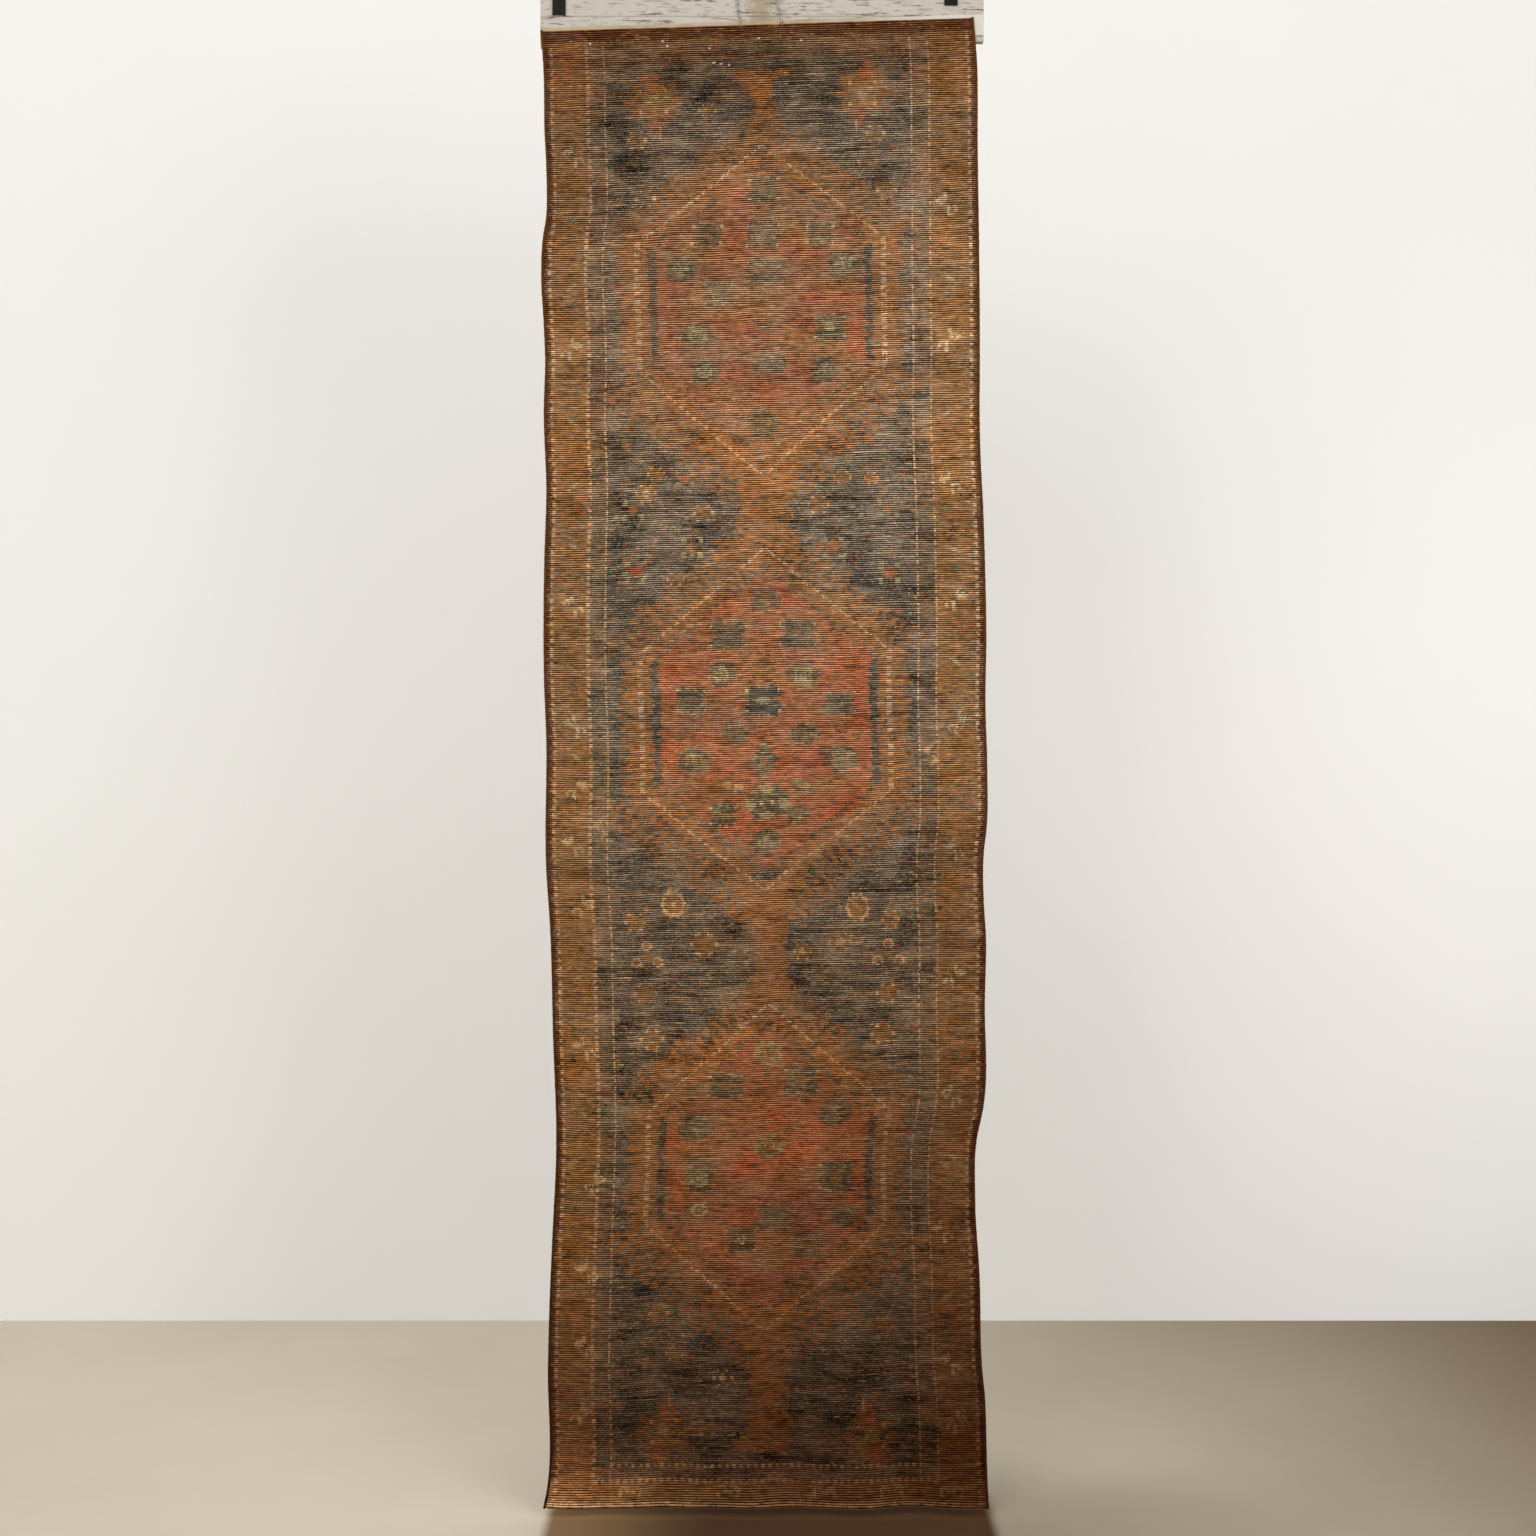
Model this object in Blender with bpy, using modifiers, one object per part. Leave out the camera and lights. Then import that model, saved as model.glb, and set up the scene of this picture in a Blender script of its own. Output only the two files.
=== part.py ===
"""Worn Sarab runner, hung face-on from a whitewashed board by a cotton heading tape.

Units are metres, +Z is up, and the rug's face looks along -Y. The origin is the middle of the
board's back, the face that is fixed to what holds the board up.
"""
import math
from collections import namedtuple

import bmesh
import bpy
import numpy as np

CLEARANCE = 0.0003

BOARD_LENGTH = 1.079
BOARD_HEIGHT = 0.126
BOARD_THICKNESS = 0.020
BOARD_CHAMFER = 0.0015
BOARD_GROOVE_Z = -0.002
BOARD_GROOVE_HALF = 0.0016
BOARD_GROOVE_DEPTH = 0.0020

TAPE_WIDTH = 0.050
TAPE_THICKNESS = 0.0016
TAPE_SHOWS = 0.010

RUG_THICKNESS = 0.005
RUG_TOP_LEFT_Z = -0.041
RUG_TOP_RIGHT_Z = -0.0085
RUG_HEM_Z = -3.623
RUG_COLUMNS = 14
RUG_ROWS = 66

SELVEDGE_RADIUS = 0.0036
SELVEDGE_GAP = 0.0005

HEM_FLARE_HEIGHT = 0.085
HEM_FLARE_REACH = 0.030
HEM_SCALLOP = 0.0035
HEM_EXTRA_ROWS = 7

CREASE_DROP = 0.333
CREASE_HALF = 0.022
CREASE_DEPTH = 0.0035
CREASE_EXTRA_ROWS = 5

STRAP_WIDTH = 0.032
STRAP_THICKNESS = 0.004
STRAP_LEG = 0.018

CHAIN_RADIUS = 0.0025
CHAIN_OVER_TOP = 0.010

# How far each side of the rug lies from the middle of the board, going down the rug.
Edge = namedtuple("Edge", "drop out")
LEFT_EDGE = [
    Edge(0.041, 0.539), Edge(0.112, 0.533), Edge(0.282, 0.530), Edge(0.403, 0.525),
    Edge(0.488, 0.526), Edge(0.549, 0.535), Edge(0.641, 0.538), Edge(0.744, 0.532),
    Edge(0.841, 0.528), Edge(0.965, 0.531), Edge(1.157, 0.525), Edge(1.327, 0.530),
    Edge(1.606, 0.531), Edge(1.764, 0.525), Edge(2.080, 0.525), Edge(2.202, 0.517),
    Edge(2.493, 0.509), Edge(2.748, 0.501), Edge(2.979, 0.510), Edge(3.125, 0.516),
    Edge(3.295, 0.520), Edge(3.538, 0.518), Edge(3.587, 0.523), Edge(3.623, 0.530),
]
RIGHT_EDGE = [
    Edge(0.009, 0.515), Edge(0.112, 0.523), Edge(0.330, 0.525), Edge(0.744, 0.530),
    Edge(1.084, 0.532), Edge(1.181, 0.537), Edge(1.327, 0.542), Edge(1.521, 0.546),
    Edge(1.667, 0.544), Edge(1.837, 0.549), Edge(1.983, 0.547), Edge(2.031, 0.541),
    Edge(2.153, 0.540), Edge(2.238, 0.545), Edge(2.396, 0.542), Edge(2.663, 0.537),
    Edge(2.729, 0.523), Edge(2.885, 0.519), Edge(3.064, 0.530), Edge(3.295, 0.537),
    Edge(3.368, 0.544), Edge(3.465, 0.547), Edge(3.623, 0.550),
]

Strap = namedtuple("Strap", "name x foot_z")
STRAPS = [
    Strap("strap_left", -0.494, 0.000),
    Strap("strap_right", 0.460, 0.024),
]

Chain = namedtuple("Chain", "name top_x foot_x")
CHAINS = [
    Chain("chain_left", -0.065, -0.052),
    Chain("chain_right", 0.028, 0.049),
]

# Colours are linear RGB.
Finish = namedtuple("Finish", "colour roughness metallic")
WOOL_PILE = Finish((0.24, 0.13, 0.06), 0.95, 0.0)
WOOL_BINDING = Finish((0.10, 0.035, 0.012), 0.95, 0.0)
COTTON_TAPE = Finish((0.62, 0.52, 0.38), 0.9, 0.0)
WHITEWASH = Finish((0.60, 0.58, 0.53), 0.85, 0.0)
BLACK_IRON = Finish((0.012, 0.011, 0.010), 0.55, 0.6)
CHAIN_STEEL = Finish((0.35, 0.34, 0.32), 0.35, 1.0)


def clear_scene():
    for old in list(bpy.data.objects):
        bpy.data.objects.remove(old, do_unlink=True)


def new_material(name, finish):
    material = bpy.data.materials.new(name)
    material.use_nodes = True
    shader = material.node_tree.nodes["Principled BSDF"]
    shader.inputs["Base Color"].default_value = (*finish.colour, 1.0)
    shader.inputs["Roughness"].default_value = finish.roughness
    shader.inputs["Metallic"].default_value = finish.metallic
    return material


def add_piece(collection, name, data, material):
    piece = bpy.data.objects.new(name, data)
    piece.data.materials.append(material)
    collection.objects.link(piece)
    return piece


def smooth_between(rows, drop):
    """Read a table of Edge rows at any drop, on a cubic that passes through every row."""
    drops = np.array([row.drop for row in rows])
    outs = np.array([row.out for row in rows])
    slopes = np.gradient(outs, drops)
    drop = float(np.clip(drop, drops[0], drops[-1]))
    k = int(np.clip(np.searchsorted(drops, drop) - 1, 0, len(drops) - 2))
    span = drops[k + 1] - drops[k]
    t = (drop - drops[k]) / span
    start = (1 + 2 * t) * (1 - t) ** 2 * outs[k] + t * (1 - t) ** 2 * span * slopes[k]
    end = t * t * (3 - 2 * t) * outs[k + 1] + t * t * (t - 1) * span * slopes[k + 1]
    return start + end


def bell(x, centre, half):
    return math.exp(-((x - centre) / half) ** 2)


def rest_depth():
    """Where the rug's middle surface lies when it is flat against the heading tape."""
    back = BOARD_THICKNESS + CLEARANCE + TAPE_THICKNESS + CLEARANCE
    return -(back + RUG_THICKNESS / 2)


def rug_depth(u, drop):
    """Depth of the rug's middle surface, from the ripples, the curled sides, the crease and the hem."""
    loose = min(1.0, max(0.0, (drop - BOARD_HEIGHT / 2) / 0.5))
    ripple = 0.0030 * math.sin(2 * math.pi * (1.35 * u + 0.22 * drop + 0.10))
    billow = 0.0045 * math.sin(2 * math.pi * (drop / 1.9 + 0.35 * u))
    curl = 0.0040 * math.sin(2 * math.pi * drop / 1.15)
    sides = curl * (bell(u, 0.0, 0.09) - bell(u, 1.0, 0.09))
    crease = CREASE_DEPTH * bell(drop, CREASE_DROP, CREASE_HALF) * bell(u, 0.0, 0.45)
    hem = max(0.0, (drop + RUG_HEM_Z + HEM_FLARE_HEIGHT) / HEM_FLARE_HEIGHT)
    scallop = 1 + 0.16 * math.sin(2 * math.pi * (4.3 * u + 0.15))
    flare = -HEM_FLARE_REACH * hem ** 1.8 * scallop
    return rest_depth() + loose * (ripple + billow + sides) + crease + flare


def top_z(u):
    return RUG_TOP_LEFT_Z + (RUG_TOP_RIGHT_Z - RUG_TOP_LEFT_Z) * u


def hem_z(u):
    lift = 0.5 + 0.5 * math.sin(2 * math.pi * (3.6 * u + 0.3))
    return RUG_HEM_Z + HEM_SCALLOP * lift ** 2


def rug_point(u, v):
    """A point of the rug's middle surface: u goes left to right, v from its top edge to its hem."""
    z = top_z(u) + (hem_z(u) - top_z(u)) * v
    inset = 2 * SELVEDGE_RADIUS + SELVEDGE_GAP
    left = -smooth_between(LEFT_EDGE, -z) + inset
    right = smooth_between(RIGHT_EDGE, -z) - inset
    return (left + (right - left) * u, rug_depth(u, -z), z)


def row_places():
    """The places down the rug where its grid has a row, closer at the crease and at the hem."""
    length = -RUG_HEM_Z
    even = np.linspace(0.0, 1.0, RUG_ROWS)
    crease = (CREASE_DROP + np.linspace(-1.2, 1.2, CREASE_EXTRA_ROWS) * CREASE_HALF) / length
    hem = 1.0 - np.linspace(0.08, 1.2, HEM_EXTRA_ROWS) * HEM_FLARE_HEIGHT / length
    rows = np.sort(np.concatenate([even, crease, hem]))
    apart = np.concatenate([[True], np.diff(rows) > 0.0015])
    apart[-1] = True
    return rows[apart]


def add_rug(collection, material):
    rows = row_places()
    sheet = bmesh.new()
    bmesh.ops.create_grid(sheet, x_segments=RUG_COLUMNS, y_segments=len(rows) - 1, size=0.5)
    for vertex in sheet.verts:
        u = vertex.co.x + 0.5
        row = round((0.5 - vertex.co.y) * (len(rows) - 1))
        vertex.co = rug_point(u, rows[row])
    bmesh.ops.recalc_face_normals(sheet, faces=sheet.faces)
    mesh = bpy.data.meshes.new("rug")
    sheet.to_mesh(mesh)
    sheet.free()
    rug = add_piece(collection, "rug", mesh, material)
    thickness = rug.modifiers.new("thickness", "SOLIDIFY")
    thickness.thickness = RUG_THICKNESS
    thickness.offset = 0.0
    return rug


def add_tube(collection, name, points, radius, resolution, material):
    """A round tube with closed ends along a list of points."""
    curve = bpy.data.curves.new(name, "CURVE")
    curve.dimensions = "3D"
    curve.bevel_depth = radius
    curve.bevel_resolution = resolution
    curve.use_fill_caps = True
    spline = curve.splines.new("POLY")
    spline.points.add(len(points) - 1)
    for place, point in zip(spline.points, points):
        place.co = (*point, 1.0)
    return add_piece(collection, name, curve, material)


def add_selvedge(collection, name, side, material):
    """The overcast edge cord: it lies beside the pile, its back level with the rug's back."""
    u = 0.0 if side < 0 else 1.0
    forward = SELVEDGE_RADIUS - RUG_THICKNESS / 2
    points = []
    for v in row_places():
        x, y, z = rug_point(u, v)
        points.append((x + side * (SELVEDGE_GAP + SELVEDGE_RADIUS), y - forward, z))
    return add_tube(collection, name, points, SELVEDGE_RADIUS, 2, material)


def add_bar(collection, name, outline, width, x, material):
    """An outline in depth and height, drawn out to a width along X."""
    curve = bpy.data.curves.new(name, "CURVE")
    curve.dimensions = "2D"
    curve.fill_mode = "BOTH"
    curve.extrude = width / 2
    spline = curve.splines.new("POLY")
    spline.points.add(len(outline) - 1)
    for place, (depth, height) in zip(spline.points, outline):
        place.co = (depth, height, 0.0, 1.0)
    spline.use_cyclic_u = True
    bar = add_piece(collection, name, curve, material)
    bar.rotation_euler = (math.pi / 2, 0.0, math.pi / 2)
    bar.location = (x, 0.0, 0.0)
    return bar


def add_board(collection, material):
    """The plank, with eased front edges and a shallow groove along its face."""
    front = -BOARD_THICKNESS
    top = BOARD_HEIGHT / 2
    outline = [
        (0.0, -top),
        (0.0, top),
        (front + BOARD_CHAMFER, top),
        (front, top - BOARD_CHAMFER),
        (front, BOARD_GROOVE_Z + BOARD_GROOVE_HALF),
        (front + BOARD_GROOVE_DEPTH, BOARD_GROOVE_Z),
        (front, BOARD_GROOVE_Z - BOARD_GROOVE_HALF),
        (front, -top + BOARD_CHAMFER),
        (front + BOARD_CHAMFER, -top),
    ]
    return add_bar(collection, "board", outline, BOARD_LENGTH, 0.0, material)


def add_strap(collection, strap, material):
    """A flat iron strap that lies on the board's face and hooks over its top edge."""
    face = -(BOARD_THICKNESS + CLEARANCE)
    top = BOARD_HEIGHT / 2 + CLEARANCE
    outline = [
        (face, strap.foot_z),
        (face, top),
        (face + STRAP_LEG, top),
        (face + STRAP_LEG, top + STRAP_THICKNESS),
        (face - STRAP_THICKNESS, top + STRAP_THICKNESS),
        (face - STRAP_THICKNESS, strap.foot_z),
    ]
    return add_bar(collection, strap.name, outline, STRAP_WIDTH, strap.x, material)


def add_tape(collection, material):
    """The heading tape, sewn behind the rug's top edge, which it passes by a little."""
    left = rug_point(0.0, 0.0)
    right = rug_point(1.0, 0.0)
    slope = (right[2] - left[2]) / (right[0] - left[0])
    tilt = math.atan(slope)
    middle_z = left[2] - left[0] * slope + TAPE_SHOWS - TAPE_WIDTH / 2
    bpy.ops.mesh.primitive_cube_add(size=1.0)
    tape = bpy.context.active_object
    for vertex in tape.data.vertices:
        vertex.co.x *= BOARD_LENGTH
        vertex.co.y *= TAPE_THICKNESS
        vertex.co.z *= TAPE_WIDTH
    tape.name = tape.data.name = "heading_tape"
    tape.data.materials.append(material)
    tape.location = (0.0, -(BOARD_THICKNESS + CLEARANCE + TAPE_THICKNESS / 2), middle_z)
    tape.rotation_euler = (0.0, -tilt, 0.0)
    for other in list(tape.users_collection):
        other.objects.unlink(tape)
    collection.objects.link(tape)
    return tape


def rug_top_at(x):
    left = rug_point(0.0, 0.0)
    right = rug_point(1.0, 0.0)
    return left[2] + (right[2] - left[2]) * (x - left[0]) / (right[0] - left[0])


def add_chain(collection, chain, material):
    """The outer form of a small chain: over the board's top edge and down to the rug's edge."""
    over_z = BOARD_HEIGHT / 2 + CLEARANCE + CHAIN_RADIUS
    tape_face = -(BOARD_THICKNESS + CLEARANCE + TAPE_THICKNESS)
    front_y = tape_face - CLEARANCE - CHAIN_RADIUS
    foot_z = rug_top_at(chain.foot_x) + 2 * CLEARANCE
    points = [
        (chain.top_x, -CHAIN_OVER_TOP, over_z),
        (chain.top_x, front_y + 2 * CHAIN_RADIUS, over_z),
        (chain.top_x, front_y + 0.6 * CHAIN_RADIUS, over_z - 0.6 * CHAIN_RADIUS),
        (chain.top_x, front_y, over_z - 2 * CHAIN_RADIUS),
        (chain.foot_x, front_y, foot_z),
    ]
    return add_tube(collection, chain.name, points, CHAIN_RADIUS, 2, material)


def main():
    clear_scene()
    collection = bpy.data.collections.new("sarab_rug_on_board")
    bpy.context.scene.collection.children.link(collection)
    pile = new_material("wool_pile", WOOL_PILE)
    binding = new_material("wool_binding", WOOL_BINDING)
    tape = new_material("cotton_tape", COTTON_TAPE)
    whitewash = new_material("whitewash", WHITEWASH)
    iron = new_material("black_iron", BLACK_IRON)
    steel = new_material("chain_steel", CHAIN_STEEL)

    add_rug(collection, pile)
    add_selvedge(collection, "selvedge_left", -1, binding)
    add_selvedge(collection, "selvedge_right", 1, binding)
    add_tape(collection, tape)
    add_board(collection, whitewash)
    for strap in STRAPS:
        add_strap(collection, strap, iron)
    for chain in CHAINS:
        add_chain(collection, chain, steel)


main()
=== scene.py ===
"""Looks of a worn Sarab runner that hangs from a whitewashed board by its heading tape."""
import math
from collections import namedtuple

import bmesh
import bpy
import numpy as np
from bpy.props import (
    FloatProperty,
    FloatVectorProperty,
    IntProperty,
    PointerProperty,
)
from mathutils import Matrix, Vector


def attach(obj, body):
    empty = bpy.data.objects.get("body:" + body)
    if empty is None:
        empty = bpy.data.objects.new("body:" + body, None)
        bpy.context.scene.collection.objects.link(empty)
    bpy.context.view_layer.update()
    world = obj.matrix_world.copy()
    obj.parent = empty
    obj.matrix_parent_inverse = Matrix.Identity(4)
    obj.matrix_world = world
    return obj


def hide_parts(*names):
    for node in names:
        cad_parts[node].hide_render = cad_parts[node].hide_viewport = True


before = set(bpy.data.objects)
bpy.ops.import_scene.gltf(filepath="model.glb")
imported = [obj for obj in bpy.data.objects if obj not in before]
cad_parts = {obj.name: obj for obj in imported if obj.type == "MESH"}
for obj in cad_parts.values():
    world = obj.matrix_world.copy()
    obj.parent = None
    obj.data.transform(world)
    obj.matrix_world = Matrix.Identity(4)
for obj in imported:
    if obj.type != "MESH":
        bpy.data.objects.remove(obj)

bl_info = {
    "name": "Sarab Rug on a Board",
    "version": (1, 0, 0),
    "blender": (4, 5, 0),
    "location": "View3D > Sidebar > Sarab Rug",
    "description": "Builds a worn knotted runner hung from a whitewashed board",
    "category": "Add Mesh",
}


def rows_of(columns, rows):
    """The rows of a table, with a name for each column."""
    kind = namedtuple("Row", columns)
    return [kind(*row) for row in rows]


# Sizes of the solids, in metres.
CLEARANCE = 0.0003
BOARD_LENGTH = 1.079
BOARD_HEIGHT = 0.126
BOARD_THICKNESS = 0.020
TAPE_WIDTH = 0.050
TAPE_THICKNESS = 0.0016
TAPE_SHOWS = 0.010
RUG_THICKNESS = 0.005
RUG_TOP_LEFT_Z = -0.041
RUG_TOP_RIGHT_Z = -0.0085
RUG_HEM_Z = -3.623
SELVEDGE_RADIUS = 0.0036
SELVEDGE_GAP = 0.0005
STITCH_POINTS, STITCH_SIDES = 9, 4
STITCH_SLANT = 0.0011
# Shares of the settings' pitch and yarn that the stitches take, and of the radius that the cord has.
STITCH_PITCH_SHARE, STITCH_YARN_SHARE, CORE_SHARE = 0.55, 1.25, 0.72
SIDE_STATIONS, HEM_STATIONS = 260, 160
WARP_END_THICKNESS = (0.0022, 0.0018, 0.0008)
BACK_TUCK = 0.0002
SIDE_TUCK = 0.0012
HEM_FLARE_HEIGHT = 0.085
HEM_FLARE_REACH = 0.030
HEM_SCALLOP = 0.0035
CREASE_DROP = 0.333
CREASE_HALF = 0.022
CREASE_DEPTH = 0.0035
CHAIN_RADIUS = 0.0025
CHAIN_OVER_TOP = 0.010
LINK_POINTS = 16
HOOK_POINTS, HOOK_RADIUS = 14, 0.0034
TAPE_ACROSS, TAPE_DOWN = 240, 10
TAPE_WAVE = 0.0007
LINT_STRANDS = 16
LINT_THICKNESS = (0.0005, 0.0006, 0.0003)
LINT_LIFT = 0.0008

# How far each side of the rug lies from the middle of the board, going down the rug.
LEFT_EDGE = rows_of("drop out", [
    (0.041, 0.539), (0.112, 0.533), (0.282, 0.530), (0.403, 0.525), (0.488, 0.526), (0.549, 0.535),
    (0.641, 0.538), (0.744, 0.532), (0.841, 0.528), (0.965, 0.531), (1.157, 0.525), (1.327, 0.530),
    (1.606, 0.531), (1.764, 0.525), (2.080, 0.525), (2.202, 0.517), (2.493, 0.509), (2.748, 0.501),
    (2.979, 0.510), (3.125, 0.516), (3.295, 0.520), (3.538, 0.518), (3.587, 0.523), (3.623, 0.530),
])
RIGHT_EDGE = rows_of("drop out", [
    (0.009, 0.515), (0.112, 0.523), (0.330, 0.525), (0.744, 0.530), (1.084, 0.532), (1.181, 0.537),
    (1.327, 0.542), (1.521, 0.546), (1.667, 0.544), (1.837, 0.549), (1.983, 0.547), (2.031, 0.541),
    (2.153, 0.540), (2.238, 0.545), (2.396, 0.542), (2.663, 0.537), (2.729, 0.523), (2.885, 0.519),
    (3.064, 0.530), (3.295, 0.537), (3.368, 0.544), (3.465, 0.547), (3.623, 0.550),
])

CHAINS = rows_of("node top_x foot_x", [
    ("chain_left", -0.065, -0.052), ("chain_right", 0.028, 0.049),
])

# The knot chart. Places are in knots from the rug's middle line and in rows from its top edge.
KNOTS = 240
ROWS = 700
KNOT_CM = 0.44
ROW_CM = 0.514
FRONT_PIECES = 4

(INDIGO, CAMEL, MADDER, IVORY, OLIVE, OXBLOOD, GOLD, TEAL, BROWN, ORANGE, SAGE, SAND) = range(12)
DYE_NAMES = "indigo camel madder ivory olive oxblood gold teal brown orange sage sand".split()
FINE_DYES = (IVORY, SAGE, SAND)

# For each dye: how much of the pale foundation shows at the worn tips, and how light the roots are;
# the roots' darkness is partly the dark weft and partly painted shade in the hollows between the rows.
DYE_WEAR_AND_ROOT_SHADE = {
    INDIGO: (0.42, 0.18), CAMEL: (0.22, 0.16), MADDER: (0.25, 0.16),
    IVORY: (0.10, 0.34), OLIVE: (0.32, 0.16), OXBLOOD: (0.14, 0.12),
    GOLD: (0.22, 0.13), TEAL: (0.22, 0.14), BROWN: (0.34, 0.16),
    ORANGE: (0.20, 0.16), SAGE: (0.20, 0.18), SAND: (0.06, 0.30),
}

# Upright lines of the side borders.
LEFT_DOTS, RIGHT_DOTS = -117.1, 117.1
LEFT_OUTER_LINE, RIGHT_OUTER_LINE = -96.8, 94.4
LEFT_INNER_LINE, RIGHT_INNER_LINE = -87.4, 84.4
BORDER_END = 115.6
PLAIN_EDGE = 118.4

TOP_BAND_ROWS = 6
TOP_DOTS_ROW = 7
TOP_GUARD_ROW = 15
FOOT_INNER_ROW = 682
FOOT_OUTER_ROW = 689
FOOT_EDGE_ROW = 698

BAND_HALF_KNOTS = 68.5
BAND_OUT_CM, SLANT_BAND_OUT_CM = 3.2, 1.3
BAND_IN_CM = 2.6
TOOTH_PITCH_CM = 2.5
TOOTH_REACH_CM = (7.6, 10.6)
TOOTH_SHADE_CM = (6.6, 9.0)
SIDE_TOOTH_REACH_CM = 5.2
COLUMN_IN_CM, COLUMN_WIDE_CM = 3.4, 1.7
DASH_PITCH_CM = 1.95

MEDALLIONS = rows_of("apex shoulder waist foot", [
    (57, 102, 163, 214), (248, 297, 363, 410), (464, 514, 568, 618),
])

POLES = rows_of("start end half fan", [
    (22, 62, 2.8, 5.0), (206, 254, 6.4, 4.0), (404, 470, 4.2, 4.5), (610, 676, 4.6, 2.5),
])

ROSETTES = rows_of("form knot row wide tall body heart", [
    ("lobes", 1, 78, 7.6, 6.6, OLIVE, CAMEL), ("lobes", 1, 100, 8.4, 7.4, OLIVE, BROWN),
    ("lobes", -30, 99, 7.6, 6.2, OLIVE, CAMEL), ("lobes", 33, 100, 7.0, 6.0, OLIVE, CAMEL),
    ("cross", -44, 115, 7.4, 6.0, OLIVE, SAGE), ("lobes", 3, 117, 9.2, 6.6, OLIVE, GOLD),
    ("cross", 46, 114, 7.6, 6.2, OLIVE, SAGE), ("lobes", -23, 127, 8.0, 6.4, OLIVE, CAMEL),
    ("ring", 3, 140, 5.4, 5.0, BROWN, ORANGE), ("plain", -36, 147, 8.8, 7.0, OLIVE, SAGE),
    ("lobes", 38, 144, 8.0, 7.2, OLIVE, SAGE), ("dome", 4, 161, 9.4, 6.6, OLIVE, BROWN),
    ("cross", -32, 164, 6.6, 6.2, OLIVE, SAGE), ("cross", 35, 164, 6.6, 6.0, OLIVE, SAGE),
    ("plain", 0, 189, 8.6, 6.8, OLIVE, GOLD), ("cross", 0, 273, 6.8, 5.6, OLIVE, CAMEL),
    ("lobes", -20, 289, 9.2, 7.2, OLIVE, BROWN), ("lobes", 18, 289, 9.2, 7.4, OLIVE, BROWN),
    ("plain", -2, 306, 7.0, 4.6, CAMEL, ORANGE), ("plain", -24, 307, 7.4, 6.6, OLIVE, SAGE),
    ("ring", 21, 308, 7.2, 6.2, BROWN, SAGE), ("lobes", -41, 319, 7.2, 6.4, OLIVE, BROWN),
    ("lobes", -1, 320, 9.0, 7.8, TEAL, SAGE), ("lobes", 41, 321, 8.2, 6.6, BROWN, OLIVE),
    ("plain", -17, 335, 7.0, 6.0, OLIVE, CAMEL), ("plain", 21, 336, 7.2, 5.6, OLIVE, CAMEL),
    ("ring", -40, 348, 7.0, 5.8, OLIVE, SAGE), ("chevrons", -2, 348, 6.4, 9.0, OLIVE, ORANGE),
    ("ring", 41, 348, 7.0, 5.8, OLIVE, SAGE), ("bow", -19, 359, 6.0, 2.6, IVORY, GOLD),
    ("bow", 20, 359, 5.6, 2.4, SAGE, OLIVE), ("pale", 0, 368, 9.8, 8.2, OLIVE, IVORY),
    ("lobes", -24, 374, 6.6, 5.6, OLIVE, GOLD), ("plain", 17, 374, 6.6, 4.6, OLIVE, GOLD),
    ("cross", 0, 387, 6.8, 5.8, OLIVE, SAGE), ("plain", 0, 403, 6.2, 2.8, TEAL, OLIVE),
    ("cross", -1, 487, 6.8, 6.2, SAGE, GOLD), ("lobes", -25, 502, 8.6, 7.0, OLIVE, GOLD),
    ("lobes", 18, 500, 8.8, 7.2, OLIVE, GOLD), ("ring", -42, 521, 8.2, 6.0, BROWN, OLIVE),
    ("ring", 38, 515, 7.2, 5.6, BROWN, OLIVE), ("pale", 2, 531, 7.6, 6.6, CAMEL, IVORY),
    ("plain", -38, 546, 8.6, 7.8, OLIVE, SAGE), ("lobes", 41, 545, 9.0, 8.2, OLIVE, GOLD),
    ("plain", -38, 561, 8.2, 6.0, CAMEL, IVORY), ("plain", 45, 564, 7.0, 6.2, OLIVE, CAMEL),
    ("lobes", 5, 565, 8.8, 7.0, BROWN, OLIVE), ("lobes", -14, 575, 7.6, 6.4, BROWN, IVORY),
    ("cross", 25, 577, 8.0, 6.6, BROWN, GOLD), ("plain", 5, 584, 6.4, 5.6, GOLD, CAMEL),
])

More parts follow.
